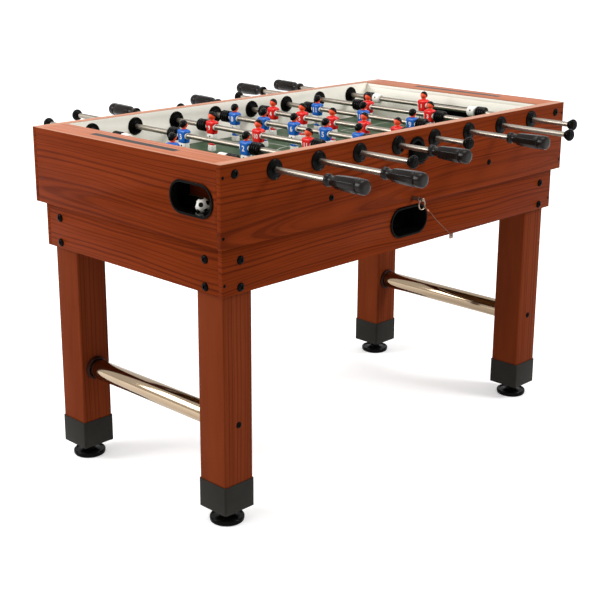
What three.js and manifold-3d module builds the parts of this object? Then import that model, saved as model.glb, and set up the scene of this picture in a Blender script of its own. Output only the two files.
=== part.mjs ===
// Foosball table: a laminated cabinet on four legs, eight sliding and turning player rods.
// Millimetres, +Z up, origin on the floor under the middle of the pitch.
// X runs along the pitch from goal to goal, and the rods lie along Y.
import * as THREE from 'three';
import { mergeVertices } from 'three/addons/utils/BufferGeometryUtils.js';
import Module from 'manifold-3d';

// Cabinet
const tableLength = 1215;
const tableWidth = 643.4;
const rimHeight = 816;
const cabinetDepth = 175.4;
const sideThickness = 24;
const endThickness = 12;
const rebateDepth = 12;
const endBoxLength = 78;
const capThickness = 12;
const capLip = 5;
const goalWallThickness = 12;
const goalWidth = 200;
const goalHeight = 61;
const pitchDrop = 95;
const pitchThickness = 9;
const battenInset = 321.5;
const battenWidth = 40;
const battenHeight = 24;

// Lower frame
const apronDepth = 105.3;
const apronInset = 16.2;
const apronThickness = 12;
const legSize = 82;
const legCorner = 4;
const sleeveSize = 86.5;
const sleeveHeight = 66;
const sleeveBottom = 35.6;
const sleeveFloor = 2.4;
const footRadius = 38.9;
const footHeight = 21;
const footStemRadius = 6;
const footStemDepth = 45;
const stretcherHeight = 235;
const stretcherRadius = 24;
const stretcherWall = 1.6;
const stretcherFlange = 5;
const stretcherFlangeLength = 6;

// Rods and their bearings
const rodRadius = 6.35;
const rodDrop = 29;
const rodMargin = 71;
const bearingRadius = 22;
const bearingNose = 10;
const bearingRim = 3;
const bearingProud = 7;
const bumperRadius = 15;
const bumperLength = 28;
const collarRadius = 13.5;
const collarLength = 25;
const handleLength = 105;
const handleSocket = 82;
const handleRadius = 17;
const handleGrip = 15.5;
const handleWaist = 10.5;
const handleCollar = 13;
const endCapLength = 28;
const endCapRadius = 14.5;
const endCapTaper = 8;
const handleCollarLength = 9;
const handleWaistReach = 15;
const handleGripReach = 24;
const handleKnobLength = 15;
const handleTaper = 3;
const handleRounding = 6;

// How far a centred rod can slide each way before a bumper meets its bearing
const goalieStroke = 81.7;
const pairStroke = 135.7;
const fiveStroke = 33.7;

// From a side panel's outer face to the handle's collar and to the middle of the far end's cap
const goalieHandleReach = 146.3;
const pairHandleReach = 190.3;
const threeHandleReach = 134.3;
const fiveHandleReach = 102.3;
const goalieCapReach = 145.3;
const pairCapReach = 200.3;
const threeCapReach = 143.3;
const fiveCapReach = 96.3;

// From the middle of a bumper to the outermost player, or to the goalie's stop collar
const bumperToPlayer = 31;
const pairBumperToPlayer = 34;
const bumperToCollar = 29;

// The eight rods from left to right: kind, team, and how far each stands off the middle
const rods = [
  { kind: 'goalie', team: 'blue', offset: 0 },
  { kind: 'pair', team: 'blue', offset: 8 },
  { kind: 'three', team: 'red', offset: -2 },
  { kind: 'five', team: 'blue', offset: 9.4 },
  { kind: 'five', team: 'red', offset: 3 },
  { kind: 'three', team: 'blue', offset: 16 },
  { kind: 'pair', team: 'red', offset: 8 },
  { kind: 'goalie', team: 'red', offset: 28 },
];

// Players: levels from the rod's axis, and half breadths along the rod
const playerSole = 60;
const playerInstep = 48;
const playerAnkle = 43;
const playerHip = 14;
const playerShoulder = 9;
const playerNeck = 14;
const playerJaw = 20;
const playerBrow = 30;
const playerCrown = 36;
const shoeBreadth = 11.5;
const ankleBreadth = 8;
const hipBreadth = 13;
const shoulderBreadth = 15;
const neckBreadth = 6;
const headBreadth = 9;
const crownBreadth = 4.5;
const soleDepth = 9.5;
const instepDepth = 8;
const ankleDepth = 5.5;
const hipDepth = 8;
const shoulderDepth = 8.5;
const neckDepth = 6;
const crownDepth = 5;
const headDepth = 9.5;
const toeReach = 3;
const headTilt = 0.5;
const playerSides = 6;
const playerSquareness = 0.8;
const bossRadius = 10;
const bossLength = 31;

// Ball returns, serve cups and ball
const bezelWidth = 134;
const bezelHeight = 72;
const bezelBorder = 6;
const bezelProud = 3;
const returnEdge = 21.7;
const returnDrop = 82;
const sideReturnDrop = 43.6;
const sideReturnReach = 52;
const plasticWall = 2.5;
const trayPast = 10;
const trayRise = 16;
const trayFloorDrop = 120;
const trayRest = 69;
const trayRamp = 14;
const ballRadius = 16;
const serveWidth = 56;
const serveTop = 17;
const serveBottom = 83;
const servePlate = 3;
const serveHole = 19;
const serveBowlTop = 44;
const serveBowlDepth = 32;
const serveBowlReach = 35;

// Lock pin and lanyard
const pinOffset = -8;
const pinRise = 15.4;
const pinRadius = 4.5;
const pinLength = 75;
const pinProud = 33;
const pinEyeRadius = 3.2;
const pinEyeInset = 5;
const ringRadius = 11.5;
const ringWire = 2.2;
const ringWidth = 3.6;
const loopRadius = 0.8;
const crimpRadius = 2;
const crimpLength = 7;
const crimpReach = 22.5;
const cleatWidth = 50;
const cleatThickness = 18;
const cleatRise = 31;
const cleatDrop = 40;
const lanyardRadius = 0.9;
const anchorOffset = 168.4;
const anchorSize = 12;
const anchorThickness = 4;
const lanyardSteps = 38;
const lanyardSides = 8;

// Clearances
const seatGap = 0.3;
const runningGap = 0.3;

// Facets of round pieces
const roundSides = 8;
const bearingSides = 10;
const ballSides = 12;
const ringSides = 14;
const bowlSides = 12;
const wideSides = 16;
const returnSegments = 6;

// The corner radius of a faceted bore whose flats clear a turning shaft
function boreRadius(shaftRadius) {
  return (shaftRadius + runningGap) / Math.cos(Math.PI / roundSides);
}

// Levels and faces that several pieces share
const halfLength = tableLength / 2;
const halfWidth = tableWidth / 2;
const cabinetBottom = rimHeight - cabinetDepth;
const apronBottom = cabinetBottom - apronDepth;
const sideInner = halfWidth - sideThickness;
const lipInner = halfWidth - (sideThickness - rebateDepth);
const endInner = halfLength - endThickness;
const capUnderside = rimHeight - capThickness;
const goalFace = halfLength - endBoxLength;
const goalBack = goalFace + goalWallThickness;
const pitchTop = rimHeight - pitchDrop;
const pitchUnderside = pitchTop - pitchThickness;
const apronFaceX = halfLength - apronInset;
const apronFaceY = halfWidth - apronInset;
const apronInnerX = apronFaceX - apronThickness;
const apronInnerY = apronFaceY - apronThickness;
const legX = apronInnerX - legSize / 2;
const legY = apronInnerY - legSize / 2;
const rodHeight = rimHeight - rodDrop;
const rodBore = boreRadius(rodRadius);
const pinBore = boreRadius(pinRadius);
const pinHeight = cabinetBottom + pinRise;
const returnHeight = rimHeight - returnDrop;
const sideReturnHeight = cabinetBottom - sideReturnDrop;
const trayFloor = rimHeight - trayFloorDrop;
const trayTop = pitchTop - seatGap * 6;
const bearingInner = sideInner - bearingProud;
const throatWidth = bezelWidth - 2 * bezelBorder;
const throatHeight = bezelHeight - 2 * bezelBorder;
const returnOffset = halfWidth - returnEdge - bezelWidth / 2;
const trayReach = goalWidth / 2 + trayPast;
const trayEnd = -returnOffset - throatWidth / 2;
const trayOuterX = -endInner + seatGap;
const trayInnerX = -goalBack - seatGap;
const serveHoleHeight = rimHeight - serveTop - serveWidth / 2;
const eyeY = -halfWidth - pinProud + pinEyeInset;
const battenX = halfLength - battenInset;
const rodPitch = 2 * (goalFace - rodMargin) / (rods.length - 1);

// Everything on a rod of one kind, measured from the middle of its row of players
function rodKind(men, stroke, bumperGap, handleReach, capReach) {
  const bumper = bearingInner - stroke - bumperLength / 2;
  const wing = men > 1 ? bumper - bumperGap : 0;
  return {
    spots: Array.from({ length: men }, (_, i) => (men > 1 ? wing * (2 * i / (men - 1) - 1) : 0)),
    collar: men > 1 ? 0 : bumper - bumperGap,
    bumper,
    handle: halfWidth + handleReach,
    cap: halfWidth + capReach,
  };
}

const rodKinds = {
  goalie: rodKind(1, goalieStroke, bumperToCollar, goalieHandleReach, goalieCapReach),
  pair: rodKind(2, pairStroke, pairBumperToPlayer, pairHandleReach, pairCapReach),
  three: rodKind(3, goalieStroke, bumperToPlayer, threeHandleReach, threeCapReach),
  five: rodKind(5, fiveStroke, bumperToPlayer, fiveHandleReach, fiveCapReach),
};

// A player's sections from the sole to the crown: height, half breadth, half depth, and lean forward
const playerSections = [
  { height: -playerSole, breadth: shoeBreadth, depth: soleDepth, forward: toeReach },
  { height: -playerInstep, breadth: shoeBreadth, depth: instepDepth, forward: toeReach / 2 },
  { height: -playerAnkle, breadth: ankleBreadth, depth: ankleDepth, forward: 0 },
  { height: -playerHip, breadth: hipBreadth, depth: hipDepth, forward: 0 },
  { height: playerShoulder, breadth: shoulderBreadth, depth: shoulderDepth, forward: 0 },
  { height: playerNeck, breadth: neckBreadth, depth: neckDepth, forward: 0 },
  { height: playerJaw, breadth: headBreadth, depth: headDepth, forward: headTilt },
  { height: playerBrow, breadth: headBreadth, depth: headDepth, forward: 0 },
  { height: playerCrown, breadth: crownBreadth, depth: crownDepth, forward: -headTilt },
];

const woodRed = new THREE.MeshStandardMaterial({ color: 0x7a3520, roughness: 0.45 });
const capPeach = new THREE.MeshStandardMaterial({ color: 0xe0a58c, roughness: 0.5 });
const boardCream = new THREE.MeshStandardMaterial({ color: 0xf0e2cc, roughness: 0.5 });
const pitchGreen = new THREE.MeshStandardMaterial({ color: 0x33593a, roughness: 0.5 });
const plasticBlack = new THREE.MeshStandardMaterial({ color: 0x1c1c1b, roughness: 0.4 });
const sleeveBlack = new THREE.MeshStandardMaterial({ color: 0x2c2a28, roughness: 0.6 });
const rubberBlack = new THREE.MeshStandardMaterial({ color: 0x151515, roughness: 0.8 });
const chrome = new THREE.MeshStandardMaterial({ color: 0xd8d8d8, roughness: 0.12, metalness: 1 });
const steelWire = new THREE.MeshStandardMaterial({ color: 0xc4c2bc, roughness: 0.3, metalness: 1 });
const ballWhite = new THREE.MeshStandardMaterial({ color: 0xf2efe8, roughness: 0.4 });
const teamBlue = new THREE.MeshStandardMaterial({ color: 0x1f5fb4, roughness: 0.35 });
const teamRed = new THREE.MeshStandardMaterial({ color: 0xd23424, roughness: 0.35 });

const wasm = await Module();
wasm.setup();

// A closed geometry as a manifold solid: shared corners welded, slivers at a lathe's poles left out
function toSolid(geometry) {
  const bare = geometry.clone();
  bare.deleteAttribute('normal');
  bare.deleteAttribute('uv');
  const welded = mergeVertices(bare, 1e-4);
  const corners = welded.index.array;
  const kept = [];
  for (let i = 0; i < corners.length; i += 3) {
    const [a, b, c] = [corners[i], corners[i + 1], corners[i + 2]];
    if (a !== b && b !== c && c !== a) kept.push(a, b, c);
  }
  const vertProperties = new Float32Array(welded.attributes.position.array);
  const triVerts = new Uint32Array(kept);
  return new wasm.Manifold(new wasm.Mesh({ numProp: 3, vertProperties, triVerts }));
}

function toGeometry(solid) {
  const mesh = solid.getMesh();
  const geometry = new THREE.BufferGeometry();
  geometry.setAttribute('position', new THREE.BufferAttribute(mesh.vertProperties, 3));
  geometry.setIndex(new THREE.BufferAttribute(mesh.triVerts, 1));
  geometry.computeVertexNormals();
  return geometry;
}

function join(first, ...others) {
  return toGeometry(others.reduce((whole, piece) => whole.add(toSolid(piece)), toSolid(first)));
}

function cut(body, ...tools) {
  return toGeometry(tools.reduce((rest, tool) => rest.subtract(toSolid(tool)), toSolid(body)));
}

function keep(body, region) {
  return toGeometry(toSolid(body).intersect(toSolid(region)));
}

// A box between two corners
function block(x0, x1, y0, y1, z0, z1) {
  const box = new THREE.BoxGeometry(x1 - x0, y1 - y0, z1 - z0);
  return box.translate((x0 + x1) / 2, (y0 + y1) / 2, (z0 + z1) / 2);
}

function extrude(outline, depth, curveSegments = 4) {
  return new THREE.ExtrudeGeometry(outline, { depth, bevelEnabled: false, curveSegments });
}

// An outline of (x, z) points given the thickness from y0 to y1
function slabXZ(outline, y0, y1, curveSegments) {
  const lay = new THREE.Matrix4().makeBasis(
    new THREE.Vector3(1, 0, 0), new THREE.Vector3(0, 0, 1), new THREE.Vector3(0, -1, 0));
  return extrude(outline, y1 - y0, curveSegments).applyMatrix4(lay).translate(0, y1, 0);
}

// An outline of (y, z) points given the thickness from x0 to x1
function slabYZ(outline, x0, x1, curveSegments) {
  const lay = new THREE.Matrix4().makeBasis(
    new THREE.Vector3(0, 1, 0), new THREE.Vector3(0, 0, 1), new THREE.Vector3(1, 0, 0));
  return extrude(outline, x1 - x0, curveSegments).applyMatrix4(lay).translate(x0, 0, 0);
}

// A round piece about the Y axis from (radius, y) profile points, with a flat side facing up
function turnedY(profile, sides = roundSides) {
  const points = profile.map(([radius, y]) => new THREE.Vector2(radius, y));
  return new THREE.LatheGeometry(points, sides).rotateY(Math.PI / sides);
}

function turnedZ(profile, sides = roundSides) {
  return turnedY(profile, sides).rotateX(Math.PI / 2);
}

function cylinderY(radius, y0, y1, sides = roundSides) {
  return turnedY([[0, y0], [radius, y0], [radius, y1], [0, y1]], sides);
}

function outlineOf(points) {
  return new THREE.Shape(points.map(([u, v]) => new THREE.Vector2(u, v)));
}

// A slot shape with half-round ends, longer along u
function stadium(u, v, width, height) {
  const radius = height / 2;
  const reach = width / 2 - radius;
  const shape = new THREE.Shape();
  shape.absarc(u + reach, v, radius, -Math.PI / 2, Math.PI / 2, false);
  shape.absarc(u - reach, v, radius, Math.PI / 2, Math.PI * 1.5, false);
  return shape;
}

function roundedSquare(size, radius) {
  const inner = size / 2 - radius;
  const shape = new THREE.Shape();
  shape.absarc(inner, inner, radius, 0, Math.PI / 2, false);
  shape.absarc(-inner, inner, radius, Math.PI / 2, Math.PI, false);
  shape.absarc(-inner, -inner, radius, Math.PI, Math.PI * 1.5, false);
  shape.absarc(inner, -inner, radius, Math.PI * 1.5, Math.PI * 2, false);
  return shape;
}

function arch(width, bottom, top) {
  const radius = width / 2;
  const shape = new THREE.Shape();
  shape.moveTo(-radius, bottom);
  shape.lineTo(radius, bottom);
  shape.absarc(0, top - radius, radius, 0, Math.PI, false);
  return shape;
}

const table = new THREE.Group();

function place(name, geometry, material, parent = table) {
  const mesh = new THREE.Mesh(geometry, material);
  mesh.name = name;
  parent.add(mesh);
  return mesh;
}

function rodX(index) {
  return (index - (rods.length - 1) / 2) * rodPitch;
}

// A bearing: two flanges on the faces of the side panel and a bush through it
function bearing(x) {
  const outer = halfWidth + bearingProud;
  const inner = bearingInner;
  return turnedY([
    [0, inner], [bearingNose, inner], [bearingRadius, sideInner - bearingRim], [bearingRadius, sideInner + 1],
    [bearingNose, sideInner + 1], [bearingNose, halfWidth - 1], [bearingRadius, halfWidth - 1],
    [bearingRadius, halfWidth + bearingRim], [bearingNose, outer], [0, outer],
  ], bearingSides).translate(x, 0, rodHeight);
}

// Long side panel at +Y with its ends rebated for the end panels, eight bearings and the serve hole
function sidePanel(withPinHole) {
  const board = block(-halfLength, halfLength, sideInner, halfWidth, cabinetBottom, rimHeight);
  const rebates = [endInner, -halfLength - 1].map((x) => block(
    x, x + endThickness + 1, sideInner - 1, lipInner, cabinetBottom - 1, rimHeight + 1));
  const bearings = rods.map((rod, index) => bearing(rodX(index)));
  const bores = rods.map((rod, index) => (
    cylinderY(rodBore, bearingInner - 1, halfWidth + bearingProud + 1).translate(rodX(index), 0, rodHeight)));
  const serveBore = cylinderY(serveHole, sideInner - 1, halfWidth + 1, wideSides);
  const panel = cut(
    join(cut(board, ...rebates), ...bearings), ...bores, serveBore.translate(0, 0, serveHoleHeight));
  if (!withPinHole) return panel;
  return cut(panel, cylinderY(pinBore, sideInner - 1, halfWidth + 1).translate(-pinOffset, 0, pinHeight));
}

// End panel at -X: its top edge is rebated for the cap, and the ball return comes out through it
function endPanel() {
  const board = block(-halfLength, -endInner, -lipInner, lipInner, cabinetBottom, rimHeight);
  const capRebate = block(
    -halfLength + capLip, -endInner + 1, -sideInner, sideInner, capUnderside, rimHeight + 1);
  return cut(board, capRebate, returnHole(-halfLength - 1, -endInner + 1));
}

// The slot that a ball return's throat passes through, or the throat's own outline with no gap
function throatOutline(u, v, gap) {
  const allowance = 2 * (plasticWall + gap);
  return stadium(u, v, throatWidth + allowance, throatHeight + allowance);
}

function returnHole(x0, x1) {
  return slabYZ(throatOutline(-returnOffset, returnHeight, seatGap), x0, x1, returnSegments);
}

// Goal wall at -X: it stands on the pitch and the goal mouth is left open in its foot
function goalWall() {
  const mouth = goalWidth / 2;
  const lintel = pitchTop + goalHeight;
  const outline = outlineOf([
    [-sideInner, pitchTop], [-mouth, pitchTop], [-mouth, lintel], [mouth, lintel], [mouth, pitchTop],
    [sideInner, pitchTop], [sideInner, capUnderside], [-sideInner, capUnderside],
  ]);
  return slabYZ(outline, -goalBack, -goalFace);
}

function topCap() {
  return block(-halfLength + capLip, -goalFace, -sideInner, sideInner, capUnderside, rimHeight);
}

// The playing board with the two battens that carry it, screwed through the side panels
function playfield() {
  const board = block(-goalBack, goalBack, -sideInner, sideInner, pitchUnderside, pitchTop);
  const battens = [-1, 1].map((side) => block(
    side * battenX - battenWidth / 2, side * battenX + battenWidth / 2,
    -sideInner, sideInner, pitchUnderside - battenHeight, pitchUnderside + 1));
  return join(board, ...battens);
}

function longApron() {
  return block(-apronFaceX, apronFaceX, apronInnerY, apronFaceY, apronBottom, cabinetBottom);
}

function endApron() {
  return block(-apronFaceX, -apronInnerX, -apronInnerY, apronInnerY, apronBottom, cabinetBottom);
}

// The near apron also carries the lock pin's cleat, the side return and the lanyard's anchor tab
function nearApron() {
  const board = block(-apronFaceX, apronFaceX, -apronFaceY, -apronInnerY, apronBottom, cabinetBottom);
  const cleatFace = -sideInner + seatGap;
  const cleat = block(
    pinOffset - cleatWidth / 2, pinOffset + cleatWidth / 2, cleatFace, cleatFace + cleatThickness,
    cabinetBottom - cleatDrop, cabinetBottom + cleatRise);
  const tab = block(
    anchorOffset - anchorSize / 2, anchorOffset + anchorSize / 2, -apronFaceY, -apronFaceY + anchorThickness,
    apronBottom - anchorSize, apronBottom + 1);
  const cleatBack = cleatFace + cleatThickness;
  const pinHole = cylinderY(pinBore, cleatFace - 1, cleatBack + 1).translate(pinOffset, 0, pinHeight);
  const slot = slabXZ(
    throatOutline(0, sideReturnHeight, seatGap), -apronFaceY - 1, cleatBack + 1, returnSegments);
  return cut(join(board, cleat, tab), pinHole, slot);
}

// Square leg post with a bore for the foot's stem
function leg() {
  const foot = sleeveBottom + sleeveFloor;
  const post = extrude(roundedSquare(legSize, legCorner), cabinetBottom - foot, 1).translate(0, 0, foot);
  const bore = turnedZ([[0, 0], [footStemRadius + seatGap, 0],
    [footStemRadius + seatGap, footStemDepth + 2], [0, footStemDepth + 2]], wideSides);
  return cut(post, bore.translate(0, 0, foot - 1));
}

// Moulded cup over the foot of the leg
function legSleeve() {
  const shell = extrude(roundedSquare(sleeveSize, legCorner + 1), sleeveHeight, 1);
  const hollow = extrude(roundedSquare(legSize + 2 * seatGap, legCorner), sleeveHeight, 1);
  const stem = turnedZ([[0, -1], [footStemRadius + seatGap, -1],
    [footStemRadius + seatGap, sleeveFloor + 1], [0, sleeveFloor + 1]], wideSides);
  return cut(shell, hollow.translate(0, 0, sleeveFloor), stem).translate(0, 0, sleeveBottom);
}

// Levelling foot: a moulded disc on a threaded stem
function levellingFoot() {
  const stemTop = sleeveBottom + sleeveFloor + footStemDepth;
  return turnedZ([
    [0, 0], [footRadius - 2, 0], [footRadius, footHeight - 5], [footRadius - 5, footHeight],
    [footStemRadius, footHeight], [footStemRadius, stemTop], [0, stemTop],
  ], wideSides);
}

// Chrome tube between two legs, with a flange cup at each end
function stretcher() {
  const end = legY - legSize / 2;
  const bore = stretcherRadius - stretcherWall;
  const flange = stretcherRadius + stretcherFlange;
  const shoulder = end - stretcherFlangeLength;
  return turnedY([
    [bore, -end], [flange, -end], [flange, -shoulder], [stretcherRadius, -shoulder],
    [stretcherRadius, shoulder], [flange, shoulder], [flange, end], [bore, end], [bore, -end],
  ], wideSides);
}

// End ball return at -X: a bezel and throat through the end panel, and behind them a tray that slopes
// down from the goal mouth, so that a goal's ball rolls along it to rest behind the opening, where the
// floor rises again to the tray's end
function endReturn() {
  const trough = (wall, top) => {
    const shape = new THREE.Shape();
    shape.moveTo(trayReach + wall, trayFloor + trayRise - wall);
    shape.lineTo(trayReach + wall, top);
    shape.lineTo(trayEnd - wall, top);
    shape.lineTo(trayEnd - wall, trayFloor + trayRamp - wall);
    shape.lineTo(trayEnd + trayRest, trayFloor - wall);
    return shape;
  };
  const outer = slabYZ(trough(plasticWall, trayTop), trayOuterX, trayInnerX);
  const inner = slabYZ(trough(0, trayTop + 1), trayOuterX + plasticWall, trayInnerX - plasticWall);
  const bezel = slabYZ(
    stadium(-returnOffset, returnHeight, bezelWidth, bezelHeight),
    -halfLength - bezelProud, -halfLength, returnSegments);
  const throat = slabYZ(
    throatOutline(-returnOffset, returnHeight, 0),
    -halfLength - 1, trayOuterX + plasticWall, returnSegments);
  const bore = slabYZ(
    stadium(-returnOffset, returnHeight, throatWidth, throatHeight),
    -halfLength - bezelProud - 1, trayOuterX + plasticWall + 1, returnSegments);
  return cut(join(outer, bezel, throat), inner, bore);
}

// Side ball return: a deep cup let into the near apron
function sideReturn() {
  const front = -apronFaceY - bezelProud;
  const back = -apronFaceY + sideReturnReach;
  const bezel = slabXZ(
    stadium(0, sideReturnHeight, bezelWidth, bezelHeight), front, -apronFaceY, returnSegments);
  const cup = slabXZ(throatOutline(0, sideReturnHeight, 0), -apronFaceY - 1, back, returnSegments);
  const hollow = slabXZ(
    stadium(0, sideReturnHeight, throatWidth, throatHeight), front - 1, back - plasticWall, returnSegments);
  return cut(join(bezel, cup), hollow);
}

// Serve cup at +Y: an arched plate with a collar through the side panel and a half bowl in front
function serveCup() {
  const top = rimHeight - serveTop;
  const bottom = rimHeight - serveBottom;
  const plate = slabXZ(arch(serveWidth, bottom, top), halfWidth, halfWidth + servePlate, returnSegments);
  const collar = cylinderY(serveHole - seatGap, sideInner, halfWidth + 1, wideSides);
  const rim = rimHeight - serveBowlTop;
  const radius = serveWidth / 2;
  const bowl = (wall, floor) => turnedZ([
    [0, floor], [radius * 0.5, floor + 2], [radius * 0.85 - wall, floor + 9],
    [radius - wall, floor + 20], [radius - wall, rim + wall], [0, rim + wall],
  ], bowlSides).scale(1, serveBowlReach / radius, 1).translate(0, halfWidth, 0);
  const inFront = (y) => block(-radius - 1, radius + 1, y, halfWidth + serveBowlReach + 1, bottom, top);
  const outside = keep(bowl(0, rim - serveBowlDepth), inFront(halfWidth + 1));
  const inside = keep(
    bowl(plasticWall, serveHoleHeight - ballRadius - 1), inFront(halfWidth + servePlate));
  const bore = cylinderY(ballRadius + 1, sideInner - 1, halfWidth + servePlate + 2, wideSides);
  return cut(
    join(plate, collar.translate(0, 0, serveHoleHeight), outside),
    inside, bore.translate(0, 0, serveHoleHeight));
}

// Lock pin through the near side panel and the cleat behind it, with an eye for the ring
function lockPin() {
  const outerEnd = -halfWidth - pinProud;
  const innerEnd = outerEnd + pinLength;
  const shaft = turnedY([
    [0, outerEnd], [pinRadius - 1, outerEnd], [pinRadius, outerEnd + 1],
    [pinRadius, innerEnd - 3], [pinRadius - 2, innerEnd], [0, innerEnd],
  ]);
  const eye = cylinderY(pinEyeRadius, -pinRadius - 1, pinRadius + 1).rotateZ(Math.PI / 2);
  return cut(shaft, eye.translate(0, eyeY, 0)).translate(pinOffset, 0, pinHeight);
}

// Where the ring hangs, and the way from its middle to the lanyard's crimp
const ringCentre = new THREE.Vector3(pinOffset, eyeY, pinHeight - ringRadius - seatGap);
const ringToCrimp = new THREE.Vector3(0.782, -0.07, -0.62).normalize();

// Split ring in the pin's eye, with the lanyard's end loop round it and the loop's crimp
function pullRing() {
  const half = ringWidth / 2;
  const wire = ringWire / 2;
  const ring = turnedY([
    [ringRadius - wire, -half + wire], [ringRadius, -half], [ringRadius + wire, -half + wire],
    [ringRadius + wire, half - wire], [ringRadius, half], [ringRadius - wire, half - wire],
    [ringRadius - wire, -half + wire],
  ], ringSides).translate(ringCentre.x, ringCentre.y, ringCentre.z);
  const at = (along, aside) => ringCentre.clone()
    .addScaledVector(ringToCrimp, along).add(new THREE.Vector3(0, aside, 0));
  const inside = ringRadius - wire - loopRadius / 2;
  const outside = ringRadius + wire;
  const route = new THREE.CatmullRomCurve3([
    at(crimpReach + 2, 0.4), at(outside + 4, 2.2), at(ringRadius, half + 1.4), at(inside, 0),
    at(ringRadius, -half - 1.4), at(outside + 4, -2.2), at(crimpReach + 2, -0.4),
  ]);
  const loop = tube(route, loopRadius, 10, 5);
  const crimp = tube(
    new THREE.LineCurve3(at(crimpReach, 0), at(crimpReach + crimpLength, 0)), crimpRadius, 1, roundSides);
  return join(ring, loop, crimp);
}

function tube(path, radius, steps, sides) {
  const section = new THREE.Shape();
  for (let i = 0; i < sides; i++) {
    const angle = (i / sides) * Math.PI * 2;
    const x = radius * Math.cos(angle);
    const y = radius * Math.sin(angle);
    if (i === 0) section.moveTo(x, y);
    else section.lineTo(x, y);
  }
  return new THREE.ExtrudeGeometry(section, { extrudePath: path, steps, bevelEnabled: false });
}

// Wire lanyard from the crimp to the tab under the apron, in its own hanging line
const lanyardRoute = [
  [15.3, -351.8, 625.7], [20, -352.2, 622], [27.5, -351.3, 616.4], [36.5, -349, 609.8],
  [46, -346.2, 603], [56, -343.2, 596.2], [66.5, -340.1, 589.4], [77, -337, 582.8],
  [87.5, -333.9, 576.4], [98, -330.8, 570.2], [108.5, -327.7, 564.1], [119, -324.6, 558],
  [129, -321.5, 552.2], [138.5, -318.3, 546.6], [147.5, -315, 541.2], [155.5, -312.2, 536.6],
  [162, -310.6, 533], [166.6, -308.8, 530.6], [168.2, -306, 529.8],
].map(([x, y, z]) => new THREE.Vector3(x, y, z));

function lanyard() {
  return tube(new THREE.CatmullRomCurve3(lanyardRoute), lanyardRadius, lanyardSteps, lanyardSides);
}

// Ball at rest in the dip of the left-hand tray, clear of both slopes of its floor
function ball() {
  const slope = Math.atan2(trayRise, trayReach - trayEnd - trayRest);
  const ramp = Math.atan2(trayRamp, trayRest);
  const reach = (ballRadius + seatGap) / Math.cos((ramp + slope) / 2);
  const x = (trayOuterX + trayInnerX) / 2;
  const y = trayEnd + trayRest + reach * Math.sin((ramp - slope) / 2);
  const z = trayFloor + reach * Math.cos((ramp - slope) / 2);
  const sphere = new THREE.SphereGeometry(ballRadius, ballSides, ballSides / 2 + 1);
  return sphere.rotateX(Math.PI / 2).translate(x, y, z);
}

// A closed skin through level sections, each a rounded rectangle
function loft(sections, sides, squareness) {
  const round = (value) => Math.sign(value) * Math.abs(value) ** squareness;
  const vertices = [];
  const faces = [];
  for (const { height, breadth, depth, forward } of sections) {
    for (let i = 0; i < sides; i++) {
      const angle = ((i + 0.5) / sides) * Math.PI * 2;
      vertices.push(forward + depth * round(Math.cos(angle)), breadth * round(Math.sin(angle)), height);
    }
  }
  for (let level = 0; level + 1 < sections.length; level++) {
    for (let i = 0; i < sides; i++) {
      const a = level * sides + i;
      const b = level * sides + (i + 1) % sides;
      faces.push(a, b, b + sides, a, b + sides, a + sides);
    }
  }
  const last = (sections.length - 1) * sides;
  for (let i = 1; i + 1 < sides; i++) {
    faces.push(0, i + 1, i, last, last + i, last + i + 1);
  }
  const geometry = new THREE.BufferGeometry();
  geometry.setAttribute('position', new THREE.Float32BufferAttribute(vertices, 3));
  geometry.setIndex(faces);
  return geometry;
}

// Player facing +X with the boss that clamps it on the rod
function player() {
  const boss = cylinderY(bossRadius, -bossLength / 2, bossLength / 2);
  return join(loft(playerSections, playerSides, playerSquareness), boss);
}

function bumperProfile(bore) {
  const half = bumperLength / 2;
  return [
    [bore, -half], [bumperRadius - 1.5, -half], [bumperRadius, -half + 3],
    [bumperRadius, half - 3], [bumperRadius - 1.5, half], [bore, half],
  ];
}

// Rubber bumper ring on the handle side, between the last player and the wall
function bumper(kind) {
  const profile = bumperProfile(rodBore);
  return join(turnedY([...profile, profile[0]]).translate(0, -kind.bumper, 0));
}

// A steel rod lying along Y, handle end at -Y, with what is fixed on it: its players, the far
// bumper, the goalie's stop collars and the safety cap on the far end
function rodWithPlayers(kind) {
  const bar = cylinderY(rodRadius, -kind.handle - handleSocket, kind.cap);
  const players = kind.spots.map((y) => player().translate(0, y, 0));
  const collars = (kind.collar > 0 ? [-kind.collar, kind.collar] : []).map((y) => (
    cylinderY(collarRadius, y - collarLength / 2, y + collarLength / 2)));
  const farBumper = turnedY(bumperProfile(0)).translate(0, kind.bumper, 0);
  const half = endCapLength / 2;
  const cap = turnedY([
    [0, -half], [endCapRadius - endCapTaper / 2, -half], [endCapRadius, half - endCapTaper],
    [endCapRadius - 2, half - 2], [0, half],
  ]).translate(0, kind.cap, 0);
  return join(bar, ...players, ...collars, farBumper, cap);
}

// Grip handle with a blind socket for the rod's end
function handle(kind) {
  const socket = rodRadius + seatGap;
  return join(turnedY([
    [0, -handleLength], [handleRadius - handleRounding + 1, -handleLength],
    [handleRadius, -handleLength + handleRounding], [handleRadius, -handleLength + handleKnobLength],
    [handleGrip, -handleLength + handleKnobLength + handleTaper], [handleGrip - 2, -handleGripReach],
    [handleWaist, -handleWaistReach], [handleCollar, -handleCollarLength], [handleCollar, 0], [socket, 0],
    [socket, -handleSocket - seatGap], [0, -handleSocket - seatGap],
  ]).translate(0, -kind.handle, 0));
}

// Panels that face +Y or -X are turned half a turn about Z for the opposite side
const halfTurn = new THREE.Group();
halfTurn.rotation.z = Math.PI;
table.add(halfTurn);

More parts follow.
